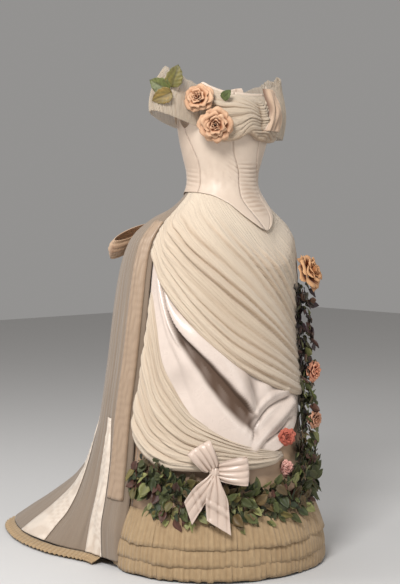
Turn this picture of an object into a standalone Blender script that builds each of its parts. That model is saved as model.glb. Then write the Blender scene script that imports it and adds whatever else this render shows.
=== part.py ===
"""A ball gown with a draped bustle skirt, a train and flower garlands.

Metres, +Z up. The centre front faces -Y, the wearer's right is -X, and the origin is the
middle of the waist, where the gown is held up. The tables give heights above the floor.
Angles are degrees round the body from the centre front, positive to the wearer's left.
"""

import math
from collections import namedtuple
from functools import partial

import bmesh
import bpy
from mathutils import Matrix, Vector
from mathutils.bvhtree import BVHTree

WAIST_HEIGHT = 1.035

# Cloth walls and the gaps between pieces.
SATIN_WALL = 0.0015
TULLE_WALL = 0.0012
SEAM = 0.0003
SEAT = 0.0005

# How far each layer stands off the skirt's own form where the basque presses them flat.
SATIN_PRESSED = 0.0005
TULLE_PRESSED = 0.0028
BASQUE_OUT = 0.0077
BASQUE_TIP_OUT = 0.0058
BODICE_SEAT = 0.0014
TURN_UNDER_SEAT = 0.0021
SLEEVE_SEAT = 0.0008
BAND_SEAT = 0.0010

# Every layer has rows at these heights, and columns on these angles, so none cuts another.
WAIST_ROWS = (0.872, 0.905, 0.938, 0.970, 1.000, 1.030)
FRONT_ANGLES = tuple(range(-104, 97, 10))

SkirtRing = namedtuple("SkirtRing", "height half_width front back lean")
SKIRT = (
    SkirtRing(0.000, 0.294, 0.272, 0.275, -0.014),
    SkirtRing(0.150, 0.274, 0.250, 0.258, -0.014),
    SkirtRing(0.300, 0.255, 0.221, 0.243, -0.013),
    SkirtRing(0.420, 0.243, 0.200, 0.236, -0.012),
    SkirtRing(0.550, 0.227, 0.183, 0.228, -0.010),
    SkirtRing(0.700, 0.214, 0.172, 0.221, -0.006),
    SkirtRing(0.800, 0.207, 0.170, 0.215, -0.003),
    SkirtRing(0.880, 0.194, 0.164, 0.200, -0.002),
    SkirtRing(0.930, 0.170, 0.150, 0.170, 0.000),
    SkirtRing(0.980, 0.133, 0.118, 0.122, 0.000),
    SkirtRing(1.010, 0.109, 0.096, 0.090, 0.000),
    SkirtRing(1.035, 0.0935, 0.0855, 0.080, 0.000),
)

BodiceRing = namedtuple("BodiceRing", "height half_width front back lean")
BODICE = (
    BodiceRing(1.035, 0.1012, 0.0932, 0.0877, 0.0),
    BodiceRing(1.070, 0.1045, 0.0955, 0.0895, 0.0),
    BodiceRing(1.110, 0.1170, 0.1040, 0.0930, 0.0),
    BodiceRing(1.150, 0.1290, 0.1150, 0.0970, 0.0),
    BodiceRing(1.190, 0.1370, 0.1240, 0.1000, 0.0),
    BodiceRing(1.230, 0.1400, 0.1270, 0.1040, 0.0),
    BodiceRing(1.270, 0.1380, 0.1180, 0.1060, 0.0),
    BodiceRing(1.310, 0.1350, 0.1050, 0.1050, 0.0),
    BodiceRing(1.360, 0.1350, 0.1000, 0.1050, 0.0),
)

# How far round the train's front edge lies, and how far the train stands off the skirt's
# form at that edge and at five angles from there to the centre back.
TRAIN_ANGLES = (122, 140, 155, 168, 180)
TrainRing = namedtuple("TrainRing", "height start edge side corner hip tail middle")
TRAIN = (
    TrainRing(0.022, 103.0, 0.0190, 0.052, 0.195, 0.360, 0.478, 0.515),
    TrainRing(0.060, 103.0, 0.0275, 0.056, 0.172, 0.315, 0.418, 0.448),
    TrainRing(0.110, 103.0, 0.0335, 0.060, 0.140, 0.255, 0.336, 0.362),
    TrainRing(0.180, 103.0, 0.0300, 0.056, 0.115, 0.188, 0.240, 0.258),
    TrainRing(0.280, 104.5, 0.0290, 0.052, 0.095, 0.138, 0.166, 0.178),
    TrainRing(0.400, 106.0, 0.0270, 0.049, 0.080, 0.104, 0.120, 0.128),
    TrainRing(0.540, 105.5, 0.0260, 0.047, 0.074, 0.091, 0.102, 0.108),
    TrainRing(0.690, 104.8, 0.0250, 0.044, 0.068, 0.083, 0.092, 0.096),
    TrainRing(0.820, 104.8, 0.0220, 0.040, 0.062, 0.076, 0.085, 0.089),
    TrainRing(0.905, 104.8, 0.0170, 0.032, 0.050, 0.061, 0.067, 0.069),
    TrainRing(0.942, 104.8, 0.0120, 0.021, 0.032, 0.039, 0.042, 0.044),
    TrainRing(0.973, 104.8, 0.0042, 0.0052, 0.0074, 0.0086, 0.0092, 0.0098),
    TrainRing(0.987, 104.8, 0.0024, 0.0024, 0.0024, 0.0024, 0.0024, 0.0024),
    TrainRing(1.000, 104.8, 0.0024, 0.0024, 0.0024, 0.0024, 0.0024, 0.0024),
    TrainRing(1.030, 104.8, 0.0024, 0.0024, 0.0024, 0.0024, 0.0024, 0.0024),
)

Edge = namedtuple("Edge", "angle height")
TULLE_HEM = (
    Edge(-104, 0.850),
    Edge(-96, 0.822),
    Edge(-87, 0.769),
    Edge(-75, 0.723),
    Edge(-59, 0.666),
    Edge(-41, 0.605),
    Edge(-24, 0.551),
    Edge(-2, 0.501),
    Edge(30, 0.458),
    Edge(67, 0.441),
    Edge(98, 0.450),
)
SATIN_HEM = (
    Edge(-104, 0.640),
    Edge(-90, 0.540),
    Edge(-70, 0.445),
    Edge(-50, 0.375),
    Edge(-30, 0.338),
    Edge(-10, 0.325),
    Edge(0, 0.328),
    Edge(10, 0.346),
    Edge(22, 0.384),
    Edge(39, 0.436),
    Edge(60, 0.452),
    Edge(78, 0.470),
)
SATIN_TROUGH = (
    Edge(-104, 0.800),
    Edge(-90, 0.755),
    Edge(-82, 0.676),
    Edge(-71, 0.597),
    Edge(-51, 0.506),
    Edge(-26, 0.439),
    Edge(-10, 0.409),
    Edge(10, 0.420),
    Edge(39, 0.490),
    Edge(78, 0.540),
)
SWAG_TOP = (
    Edge(-103, 0.770),
    Edge(-98, 0.740),
    Edge(-92, 0.675),
    Edge(-82, 0.570),
    Edge(-70, 0.506),
    Edge(-56, 0.436),
    Edge(-40, 0.390),
    Edge(-21, 0.353),
    Edge(2, 0.326),
    Edge(6, 0.324),
)
SWAG_HEM = (
    Edge(-103, 0.385),
    Edge(-98, 0.352),
    Edge(-91, 0.328),
    Edge(-79, 0.301),
    Edge(-65, 0.289),
    Edge(-40, 0.289),
    Edge(-21, 0.290),
    Edge(6, 0.305),
)
BASQUE_HEM = (
    Edge(-180, 0.996),
    Edge(-150, 1.004),
    Edge(-118, 1.018),
    Edge(-90, 1.018),
    Edge(-60, 1.012),
    Edge(-32, 0.988),
    Edge(-14, 0.945),
    Edge(3, 0.915),
    Edge(20, 0.950),
    Edge(36, 0.990),
    Edge(60, 1.012),
    Edge(90, 1.018),
    Edge(118, 1.018),
    Edge(150, 1.004),
    Edge(180, 0.996),
)
# The neckline in front and behind, and the armhole between them, on one side.
BODICE_TOP = (
    Edge(0, 1.282),
    Edge(30, 1.286),
    Edge(50, 1.300),
    Edge(62, 1.312),
    Edge(70, 1.270),
    Edge(78, 1.212),
    Edge(90, 1.190),
    Edge(102, 1.212),
    Edge(110, 1.270),
    Edge(118, 1.312),
    Edge(150, 1.300),
    Edge(180, 1.292),
)
BERTHA_HEM = (
    Edge(-64, 1.190),
    Edge(-52, 1.168),
    Edge(-38, 1.152),
    Edge(-22, 1.158),
    Edge(-10, 1.174),
    Edge(4, 1.158),
    Edge(30, 1.152),
    Edge(64, 1.160),
)

ShirredStrip = namedtuple("ShirredStrip", "height centre half_angle")
SHIRRED_STRIP = (
    ShirredStrip(0.915, 3, 1.5),
    ShirredStrip(0.950, 4, 9),
    ShirredStrip(0.980, 5, 15),
    ShirredStrip(1.020, 7, 20),
    ShirredStrip(1.060, 8, 21),
    ShirredStrip(1.095, 2, 20),
    ShirredStrip(1.130, -4, 20),
    ShirredStrip(1.170, -6, 20),
    ShirredStrip(1.290, -2, 20),
)
SideSeam = namedtuple("SideSeam", "height angle")
SIDE_SEAM = (
    SideSeam(0.990, 79),
    SideSeam(1.030, 78),
    SideSeam(1.095, 76),
    SideSeam(1.140, 82),
    SideSeam(1.190, 90),
    SideSeam(1.230, 90),
)
BACK_SEAM_ANGLE = 125

SHIRRS = 13
SHIRR_LOW = 0.965
SHIRR_HIGH = 1.105
SHIRR_DEPTH = 0.0022

FlounceTier = namedtuple("FlounceTier", "top bottom flare depth")
FLOUNCE_TIERS = (
    FlounceTier(0.172, 0.094, 0.025, 0.0065),
    FlounceTier(0.126, 0.048, 0.018, 0.0060),
    FlounceTier(0.078, 0.003, 0.011, 0.0055),
)
FLOUNCE_PLEATS = 27
FRILL_PLEATS = 22
FRILL_START = 2.4
FRILL_TOP = 0.0203
FRILL_REACH = 0.030

TRAIN_FLUTES = 6
TRAIN_COLUMNS = 24
TRAIN_SEAM_COLUMN = 8

Finish = namedtuple("Finish", "colour roughness")
FINISHES = {
    "satin_ivory": Finish((0.80, 0.70, 0.62, 1), 0.35),
    "satin_peach": Finish((0.74, 0.56, 0.42, 1), 0.40),
    "tulle_cream": Finish((0.82, 0.73, 0.58, 1), 0.80),
    "tulle_gold": Finish((0.76, 0.62, 0.42, 1), 0.85),
    "underskirt_satin": Finish((0.70, 0.52, 0.40, 1), 0.50),
    "rose_petal": Finish((0.86, 0.55, 0.36, 1), 0.75),
    "bud_petal": Finish((0.80, 0.33, 0.26, 1), 0.75),
    "leaf_cloth": Finish((0.25, 0.27, 0.09, 1), 0.70),
    "leaf_autumn": Finish((0.46, 0.40, 0.10, 1), 0.70),
    "leaf_dark": Finish((0.10, 0.06, 0.07, 1), 0.65),
}


def clear_scene():
    for thing in list(bpy.data.objects):
        bpy.data.objects.remove(thing, do_unlink=True)


def new_collection(name):
    collection = bpy.data.collections.new(name)
    bpy.context.scene.collection.children.link(collection)
    return collection


def finish_material(name):
    """The Principled material of one finish, made once."""
    found = bpy.data.materials.get(name)
    if found:
        return found
    material = bpy.data.materials.new(name)
    material.use_nodes = True
    shader = material.node_tree.nodes["Principled BSDF"]
    shader.inputs["Base Color"].default_value = FINISHES[name].colour
    shader.inputs["Roughness"].default_value = FINISHES[name].roughness
    return material


def smooth(keys, values, key):
    """A monotone cubic through (keys, values), held level past both ends."""
    if key <= keys[0]:
        return values[0]
    if key >= keys[-1]:
        return values[-1]
    steps = [b - a for a, b in zip(keys, keys[1:])]
    rises = [(b - a) / step for a, b, step in zip(values, values[1:], steps)]
    place = next(i for i in range(len(steps)) if key <= keys[i + 1])

    def slope(i):
        if i in (0, len(keys) - 1):
            return rises[min(i, len(rises) - 1)]
        before, after = rises[i - 1], rises[i]
        if before * after <= 0:
            return 0.0
        wide = 2 * steps[i] + steps[i - 1]
        narrow = steps[i] + 2 * steps[i - 1]
        return (wide + narrow) / (wide / before + narrow / after)

    step = steps[place]
    t = (key - keys[place]) / step
    return (
        (2 * t**3 - 3 * t**2 + 1) * values[place]
        + (t**3 - 2 * t**2 + t) * step * slope(place)
        + (3 * t**2 - 2 * t**3) * values[place + 1]
        + (t**3 - t**2) * step * slope(place + 1)
    )


def look_up(table, key, column):
    """The named column of a table, at a key between its rows."""
    return smooth([row[0] for row in table], [getattr(row, column) for row in table], key)


def edge_height(table, angle):
    return look_up(table, angle, "height")


def ease(value):
    """0 to 1 with level ends."""
    t = min(max(value, 0.0), 1.0)
    return t * t * (3 - 2 * t)


def mix(start, end, share):
    return start + (end - start) * share


def spread(start, end, count):
    """count + 1 values from start to end."""
    return [mix(start, end, i / count) for i in range(count + 1)]


def ring_point(table, angle, height, out):
    """The point on an oval form at an angle and a height above the floor, moved out."""
    turn = math.radians(angle)
    half_width = look_up(table, height, "half_width")
    depth = look_up(table, height, "front" if math.cos(turn) > 0 else "back")
    lean = look_up(table, height, "lean")
    normal = Vector((math.sin(turn) / half_width, -math.cos(turn) / depth, 0)).normalized()
    point = Vector((lean + half_width * math.sin(turn), -depth * math.cos(turn), height - WAIST_HEIGHT))
    return point + normal * out


def skirt_point(angle, height, out=0.0):
    return ring_point(SKIRT, angle, height, out)


def bodice_point(angle, height, out=0.0):
    """The bodice's outer face. Below the waist it lies over the skirt's layers."""
    if height < WAIST_HEIGHT:
        proud = BASQUE_OUT + BASQUE_TIP_OUT * ease((1.0 - height) / 0.05)
        return ring_point(SKIRT, angle, height, proud + out)
    return ring_point(BODICE, angle, height, out)


def basque_swell(angle, height, reach):
    """0 where the basque presses on the layers, 1 a reach below its edge."""
    lowest = min(edge_height(BASQUE_HEM, angle + turn) for turn in (-8, 0, 8))
    return ease((lowest - 0.018 - height) / reach)


def grid_normals(points, closed=False):
    """The outward normal at each point of a grid given as rows[height][angle]."""
    last_row = len(points) - 1
    last_column = len(points[0]) - 1
    normals = []
    for j, row in enumerate(points):
        line = []
        for i in range(len(row)):
            before = (i - 1) % len(row) if closed else max(i - 1, 0)
            after = (i + 1) % len(row) if closed else min(i + 1, last_column)
            along = points[j][after] - points[j][before]
            up = points[min(j + 1, last_row)][i] - points[max(j - 1, 0)][i]
            line.append(along.cross(up).normalized())
        normals.append(line)
    return normals


def moved_out(points, distance, closed=False):
    """The grid moved along its own normals. distance is a number or a function of row and column."""
    normals = grid_normals(points, closed)
    reach = distance if callable(distance) else lambda j, i: distance
    return [
        [point + normals[j][i] * reach(j, i) for i, point in enumerate(row)]
        for j, row in enumerate(points)
    ]


def mesh_piece(name, vertices, faces, finish, parts):
    mesh = bpy.data.meshes.new(name)
    mesh.from_pydata(vertices, [], faces)
    mesh.materials.append(finish_material(finish))
    piece = bpy.data.objects.new(name, mesh)
    parts.objects.link(piece)
    return piece


def cloth(name, points, wall, finish, parts, closed=False):
    """A sheet of cloth from rows[height][angle], lowest row first, thickened outwards."""
    width = len(points[0])
    vertices = [point for row in points for point in row]
    faces = []
    for j in range(len(points) - 1):
        for i in range(width if closed else width - 1):
            after = (i + 1) % width
            faces.append((j * width + i, j * width + after, (j + 1) * width + after, (j + 1) * width + i))
    piece = mesh_piece(name, vertices, faces, finish, parts)
    thickness = piece.modifiers.new("wall", "SOLIDIFY")
    thickness.thickness = wall
    thickness.offset = 1
    return piece


def triangles(piece, graph):
    """The evaluated points and faces of a piece."""
    evaluated = piece.evaluated_get(graph)
    mesh = evaluated.to_mesh()
    points = [vert.co.copy() for vert in mesh.vertices]
    faces = [tuple(face.vertices) for face in mesh.polygons]
    evaluated.to_mesh_clear()
    return points, faces


SEAT_STEP = 0.001
SEAT_REACH = 0.08
SEAT_TRIES = 6


def seat(piece, direction, parts, helper=None):
    """Slides a piece along a direction until it is a seam's gap from the first thing it meets."""
    bpy.context.view_layer.update()
    graph = bpy.context.evaluated_depsgraph_get()
    points, faces = triangles(piece, graph)
    around = []
    for other in parts.objects:
        if other is not piece:
            around.append(BVHTree.FromPolygons(*triangles(other, graph)))

    def meets(distance):
        moved = BVHTree.FromPolygons([point + direction * distance for point in points], faces)
        return any(moved.overlap(tree) for tree in around)

    free = -SEAT_REACH / 2
    while not meets(free + SEAT_STEP) and free < SEAT_REACH:
        free += SEAT_STEP
    step = SEAT_STEP
    for _ in range(SEAT_TRIES):
        step /= 2
        if not meets(free + step):
            free += step
    shift = Matrix.Translation(direction * (free - SEAM))
    for thing in (piece, helper):
        if thing:
            thing.data.transform(shift)


def seam_shift(point):
    """Half a seam's gap as an angle at a point's distance from the body's axis."""
    return math.degrees(SEAM / 2 / math.hypot(point.x, point.y))


def build_underskirt(parts):
    """The satin skirt that carries the drapes, in four gores."""
    tier_tops = sorted(tier.top for tier in FLOUNCE_TIERS)
    heights = [0.030, *tier_tops, 0.310, 0.500, 0.700, *WAIST_ROWS]
    gores = {
        "underskirt_front": (-44, 36, 8),
        "underskirt_side_left": (36, 106, 7),
        "underskirt_back": (106, 256, 6),
        "underskirt_side_right": (-104, -44, 6),
    }
    for name, (start, end, columns) in gores.items():
        points = []
        for height in heights:
            gap = seam_shift(skirt_point(start, height))
            angles = spread(start + gap, end - gap, columns)
            points.append([skirt_point(angle, height, -SATIN_WALL) for angle in angles])
        cloth(name, points, SATIN_WALL, "underskirt_satin", parts)


def knife_pleat(phase):
    """The height of a knife pleat, 0 to 1: a long rise and a quick fall under itself."""
    return phase / 0.68 if phase < 0.68 else (1 - phase) / 0.32


def build_flounces(parts):
    """Three tiers of pleated tulle round the hem, each over the next."""
    phases = (0.0, 0.34, 0.68)
    for number, tier in enumerate(FLOUNCE_TIERS, 1):
        angles = [
            (pleat + phase) * 360 / FLOUNCE_PLEATS - 180
            for pleat in range(FLOUNCE_PLEATS)
            for phase in phases
        ]
        shares = [knife_pleat(phase) for _ in range(FLOUNCE_PLEATS) for phase in phases]
        low = [
            skirt_point(angle, tier.bottom, tier.flare + (share - 0.5) * tier.depth)
            for angle, share in zip(angles, shares)
        ]
        high = [skirt_point(angle, tier.top, SEAT) for angle in angles]
        cloth(f"flounce_{number}", [low, high], TULLE_WALL, "tulle_gold", parts, closed=True)


SATIN_FULL_OUT = 0.0095
SATIN_RIPPLE = 0.0025


def satin_out(angle, height):
    """How far the satin apron's inner face stands off the skirt."""
    low_and_left = ease((0.60 - height) / 0.15) * ease((angle + 20) / 20)
    ripple = SATIN_RIPPLE * math.sin(math.radians(7 * angle)) * low_and_left
    return mix(SATIN_PRESSED, SATIN_FULL_OUT + ripple, basque_swell(angle, height, 0.08))


# The long fold's section: steps above its line and how far the satin rises or sinks there.
TroughRow = namedtuple("TroughRow", "step rise")
TROUGH = (
    TroughRow(-0.042, 0.0),
    TroughRow(-0.026, 0.006),
    TroughRow(-0.012, 0.003),
    TroughRow(0.0, -0.0065),
    TroughRow(0.014, 0.003),
    TroughRow(0.034, 0.0075),
)


def build_satin_apron(parts):
    """The satin apron under both tulle drapes, with its one long deep fold."""
    angles = [angle for angle in FRONT_ANGLES if angle < 80]
    columns = []
    for angle in angles:
        trough = edge_height(SATIN_TROUGH, angle)
        hem = edge_height(SATIN_HEM, angle)
        room = ease((trough - hem - 0.045) / 0.02)
        shown = room * ease((angle + 100) / 14) * ease(-(4 + angle) / 26)
        column = [(hem, 0.0), (mix(hem, trough - 0.042, 0.55), 0.002 * shown)]
        column += [(trough + row.step, row.rise * shown) for row in TROUGH]
        column.append((mix(trough + 0.034, WAIST_ROWS[0], 0.5), 0.0))
        column += [(height, 0.0) for height in WAIST_ROWS]
        columns.append(
            [skirt_point(angle, height, satin_out(angle, height) + rise) for height, rise in column]
        )
    cloth("satin_apron", list(zip(*columns)), SATIN_WALL, "satin_ivory", parts)


TULLE_FOLDS = 4
TULLE_ROWS = 12
TULLE_FOLD_DEPTH = 0.0100
TULLE_FULL_OUT = 0.0260


def tulle_out(angle, height):
    """How far the tulle apron's inner face stands off the skirt, its folds running with its hem."""
    hem = edge_height(TULLE_HEM, angle)
    share = (height - hem) / (WAIST_ROWS[-1] - hem)
    fold = math.cos(2 * math.pi * (TULLE_FOLDS * share**0.85 + 0.5))
    depth = TULLE_FOLD_DEPTH / 2 * (1 - 0.45 * share) * ease((0.935 - height) / 0.07)
    return mix(TULLE_PRESSED, TULLE_FULL_OUT + depth * fold, basque_swell(angle, height, 0.085))


def build_tulle_apron(parts):
    """The upper tulle drape, drawn up at the right hip and falling to the left knee."""
    columns = []
    for angle in FRONT_ANGLES:
        hem = edge_height(TULLE_HEM, angle)
        heights = spread(hem, WAIST_ROWS[0], TULLE_ROWS)[:-1] + list(WAIST_ROWS)
        columns.append([skirt_point(angle, height, tulle_out(angle, height)) for height in heights])
    cloth("tulle_apron", list(zip(*columns)), TULLE_WALL, "tulle_cream", parts)


SWAG_FOLDS = 4
SWAG_FOLD_DEPTH = 0.0080
SWAG_COLUMNS = 12


def swag_out(share):
    """How far the swag's inner face stands off the skirt, share running up from its hem."""
    puff = mix(0.036, 0.0190, ease(share / 0.95))
    fold = math.cos(2 * math.pi * (SWAG_FOLDS * share))
    return puff + SWAG_FOLD_DEPTH / 2 * fold * ease((1 - share) / 0.12)


def build_tulle_swag(parts):
    """The lower tulle drape, puffed and turned under along its hem."""
    rows = 3 * SWAG_FOLDS
    angles = spread(-103, 6, SWAG_COLUMNS)
    points = []
    turned = []
    lowest = []
    for angle in angles:
        hem = edge_height(SWAG_HEM, angle)
        depth = min(0.014, (edge_height(SWAG_TOP, angle) - hem) / 2)
        turned.append(skirt_point(angle, hem + depth * 0.6, TURN_UNDER_SEAT))
        lowest.append(skirt_point(angle, hem, 0.016))
    points.append(turned)
    points.append(lowest)
    for j in range(rows + 1):
        share = j / rows
        line = []
        for angle in angles:
            hem = edge_height(SWAG_HEM, angle)
            top = edge_height(SWAG_TOP, angle)
            start = hem + min(0.010, (top - hem) / 3)
            line.append(skirt_point(angle, mix(start, top, share), swag_out(share)))
        points.append(line)
    cloth("tulle_swag", points, TULLE_WALL, "tulle_cream", parts)


def train_standoff(angle, height):
    """How far the train stands off the skirt at an angle of either side."""
    distances = [look_up(TRAIN, height, name) for name in TrainRing._fields[2:]]
    angles = [look_up(TRAIN, height, "start"), *TRAIN_ANGLES]
    return smooth(angles, distances, 180 - abs(180 - angle % 360))


def train_grid():
    """The train's inner face, rows from its hem up and columns from right edge to left edge."""
    heights = [row.height for row in TRAIN]
    plain = [
        [
            skirt_point(angle, row.height, train_standoff(angle, row.height))
            for angle in spread(row.start, 360 - row.start, TRAIN_COLUMNS)
        ]
        for row in TRAIN
    ]

    def flute(j, i):
        depth = 0.011 * ease((0.97 - heights[j]) / 0.30) * mix(0.45, 1.0, ease(heights[j] / 0.20))
        inner = ease(min(i, TRAIN_COLUMNS - i) / 4)
        return depth * inner * (1 - math.cos(2 * math.pi * TRAIN_FLUTES * i / TRAIN_COLUMNS)) / 2

    return moved_out(plain, flute)


def build_train(parts):
    """The train in three breadths, with satin bands laid on it and a pleated frill under its hem."""
    grid = train_grid()
    seams = (0, TRAIN_SEAM_COLUMN, TRAIN_COLUMNS - TRAIN_SEAM_COLUMN, TRAIN_COLUMNS)
    names = ("train_left", "train_back", "train_right")
    for name, start, end in zip(names, seams, seams[1:]):
        points = []
        for row in grid:
            line = [point.copy() for point in row[start : end + 1]]
            for place, inner in ((0, 1), (-1, -2)):
                line[place] += (line[inner] - line[place]).normalized() * SEAM / 2
            points.append(line)
        cloth(name, points, TULLE_WALL, "tulle_cream", parts)
    build_train_bands(grid, parts)
    build_train_frill(grid, parts)


TrainBand = namedtuple("TrainBand", "name start end low high finish")
TRAIN_BANDS = (
    TrainBand("train_edge_band", 0, 2, 3, 10, "satin_peach"),
    TrainBand("train_streamer_front", 2, 4, 0, 5, "satin_ivory"),
    TrainBand("train_streamer_back", 6, 8, 0, 5, "satin_ivory"),
)


def build_train_bands(grid, parts):
    """Satin bands that follow the train's own points, moved out over its wall."""
    lifted = moved_out(grid, TULLE_WALL + BAND_SEAT)
    for band in TRAIN_BANDS:
        for side, start, end in (
            ("left", band.start, band.end),
            ("right", TRAIN_COLUMNS - band.end, TRAIN_COLUMNS - band.start),
        ):
            points = []
            for row in lifted[band.low : band.high + 1]:
                line = [point.copy() for point in row[start : end + 1]]
                for place, inner in ((0, 1), (-1, -2)):
                    line[place] += (line[inner] - line[place]) * 0.06
                points.append(line)
            cloth(f"{band.name}_{side}", points, TULLE_WALL, band.finish, parts)


def build_train_frill(grid, parts):
    """The knife-pleated frill that peeps out under the train's hem."""
    hem = [Vector((point.x, point.y, 0)) for point in grid[0]]
    phases = (0.0, 0.34, 0.68)
    steps = [pleat + phase for pleat in range(FRILL_PLEATS) for phase in phases] + [FRILL_PLEATS]
    inner = []
    outer = []
    for step in steps:
        place = mix(FRILL_START, TRAIN_COLUMNS - FRILL_START, step / FRILL_PLEATS)
        i = min(int(place), TRAIN_COLUMNS - 1)
        at = hem[i].lerp(hem[i + 1], place - i)
        tangent = (hem[i + 1] - hem[i]).normalized()
        out = Vector((tangent.y, -tangent.x, 0))
        rise = knife_pleat(step % 1) * 0.0055
        inner.append(at + Vector((0, 0, FRILL_TOP - WAIST_HEIGHT)))
        outer.append(at + out * FRILL_REACH + Vector((0, 0, 0.004 + rise - WAIST_HEIGHT)))
    cloth("train_frill", [outer, inner], TULLE_WALL, "tulle_gold", parts)


def strip_edge(height, side):
    """The angle of the shirred strip's edge, side -1 on the right and 1 on the left."""
    centre = look_up(SHIRRED_STRIP, height, "centre")
    return centre + side * look_up(SHIRRED_STRIP, height, "half_angle")


def side_seam(height, side):
    return side * look_up(SIDE_SEAM, height, "angle")


def bodice_top(angle):
    return edge_height(BODICE_TOP, abs(angle))


def bodice_columns(start, end, columns, shares):
    """A grid between two seam lines, each a function of height, from the basque to the neckline."""
    points = [[] for _ in shares]
    for i in range(columns + 1):

        def angle_at(height):
            low = start(height)
            high = end(height)
            gap = seam_shift(bodice_point((low + high) / 2, height))
            return mix(low + gap, high - gap, i / columns)

        top = 1.28
        bottom = 1.0
        for _ in range(6):
            top = bodice_top(angle_at(top))
            bottom = edge_height(BASQUE_HEM, angle_at(bottom))
        for j, share in enumerate(shares):
            height = mix(bottom, top, share)
            points[j].append(bodice_point(angle_at(height), height, -SATIN_WALL))
    return points


def shirred(points):
    """The strip's grid with rows added between its own, raised into short level puckers."""
    rows = [points[0]]
    for low, high in zip(points, points[1:]):
        level = high[0].z + WAIST_HEIGHT
        between = 6 if SHIRR_LOW < level < SHIRR_HIGH + 0.02 else 1
        for step in range(1, between + 1):
            rows.append([a.lerp(b, step / between) for a, b in zip(low, high)])

    def pucker(j, i):
        inner = 0 < i < len(rows[j]) - 1
        share = (rows[j][i].z + WAIST_HEIGHT - SHIRR_LOW) / (SHIRR_HIGH - SHIRR_LOW)
        if not inner or not 0 < share < 1:
            return 0.0
        return SHIRR_DEPTH * (1 - math.cos(2 * math.pi * SHIRRS * share)) / 2

    return moved_out(rows, pucker)


def build_bodice(parts):
    """The pointed bodice: a shirred strip, two fronts, two sides and two backs."""
    rows = spread(0, 1, 7)
    strip = bodice_columns(lambda z: strip_edge(z, -1), lambda z: strip_edge(z, 1), 4, rows)
    cloth("bodice_shirred_strip", shirred(strip), SATIN_WALL, "satin_ivory", parts)
    panels = {
        "bodice_front": (strip_edge, side_seam, 6),
        "bodice_side": (side_seam, lambda z, side: side * BACK_SEAM_ANGLE, 4),
        "bodice_back": (lambda z, side: side * BACK_SEAM_ANGLE, lambda z, side: side * 180, 5),
    }
    for name, (near, far, columns) in panels.items():
        left = bodice_columns(lambda z: near(z, 1), lambda z: far(z, 1), columns, rows)
        cloth(f"{name}_left", left, SATIN_WALL, "satin_ivory", parts)
        right = bodice_columns(lambda z: far(z, -1), lambda z: near(z, -1), columns, rows)
        cloth(f"{name}_right", right, SATIN_WALL, "satin_ivory", parts)


BERTHA_FOLDS = 3
BERTHA_FOLD_DEPTH = 0.008
BERTHA_TURN = 0.012
BERTHA_ROWS = 8
BERTHA_BACK_ROWS = 4
BERTHA_REACH = 0.024
BERTHA_BACK_REACH = 0.014
BERTHA_BACK_HEM = 1.205


def bertha_grid(angles, hem_height, reach, rows):
    """Puffed tulle from just under the neckline, turned under at its hem."""
    turned_under = [bodice_point(angle, hem_height(angle) + BERTHA_TURN, TURN_UNDER_SEAT) for angle in angles]
    lowest = [bodice_point(angle, hem_height(angle), reach * 0.45) for angle in angles]
    points = [turned_under, lowest]
    for share in spread(0, 1, rows):
        line = []
        for angle in angles:
            low = hem_height(angle) + 0.008
            top = bodice_top(angle) - BERTHA_TURN
            drift = 0.25 * math.sin(math.radians(3 * angle))
            fold = BERTHA_FOLD_DEPTH / 2 * math.cos(2 * math.pi * (BERTHA_FOLDS * share + drift))
            puff = reach * math.sqrt(max(0.0, 1 - (share * 1.02) ** 2.4)) + fold * ease((1 - share) / 0.3)
            line.append(bodice_point(angle, mix(low, top, share), max(puff, BODICE_SEAT)))
        points.append(line)
    return points


def build_bertha(parts):
    """The tulle that drapes over the bust and round behind."""
    front_hem = partial(edge_height, BERTHA_HEM)
    front = bertha_grid(spread(-63, 63, 13), front_hem, BERTHA_REACH, BERTHA_ROWS)
    cloth("bertha_front", front, TULLE_WALL, "tulle_cream", parts)
    back_angles = spread(125, 235, 10)
    back = bertha_grid(back_angles, lambda angle: BERTHA_BACK_HEM, BERTHA_BACK_REACH, BERTHA_BACK_ROWS)
    cloth("bertha_back", back, TULLE_WALL, "tulle_cream", parts)


Sleeve = namedtuple("Sleeve", "side reach top_reach low_outer low_inner high puff")
SLEEVE_ROWS = 5
SLEEVE_COLUMNS = 12
SLEEVES = {
    "sleeve_right": Sleeve(-1, 0.136, 0.078, 1.232, 1.190, 1.346, 0.005),
    "sleeve_left": Sleeve(1, 0.106, 0.088, 1.165, 1.175, 1.340, 0.007),
}


def sleeve_grid(sleeve):
    """A cap of gathered tulle from the front of the armhole, out over the arm, to its back."""
    points = []
    for share in spread(0, 1, SLEEVE_ROWS):
        line = []
        for degrees in spread(-90, 90, SLEEVE_COLUMNS):
            turn = math.radians(degrees)
            low = mix(sleeve.low_inner, sleeve.low_outer, math.cos(turn))
            height = mix(low, mix(1.300, sleeve.high, math.cos(turn)), share)
            front = bodice_point(sleeve.side * 66, height, SLEEVE_SEAT)
            back = bodice_point(sleeve.side * 114, height, SLEEVE_SEAT)
            root = front.lerp(back, (math.sin(turn) + 1) / 2)
            gather = sleeve.puff * math.cos(8 * turn) * math.cos(turn) * (1 - share)
            swell = mix(sleeve.reach, sleeve.top_reach, share**2.2) - 0.010 * (1 - share) ** 2
            reach = (swell + gather) * math.cos(turn) ** 0.8
            line.append(root + Vector((sleeve.side * reach, 0, 0)) if abs(degrees) < 90 else root)
        points.append(line if sleeve.side > 0 else line[::-1])
    return points


def build_sleeves(parts):
    for name, sleeve in SLEEVES.items():
        cloth(name, sleeve_grid(sleeve), TULLE_WALL, "tulle_cream", parts)


def frame_at(point, normal):
    """A matrix at a point: Z along the level normal, X level, Y up."""
    up = Vector((0, 0, 1))
    frame = Matrix((up.cross(normal), up, normal)).transposed().to_4x4()
    frame.translation = point
    return frame


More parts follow.
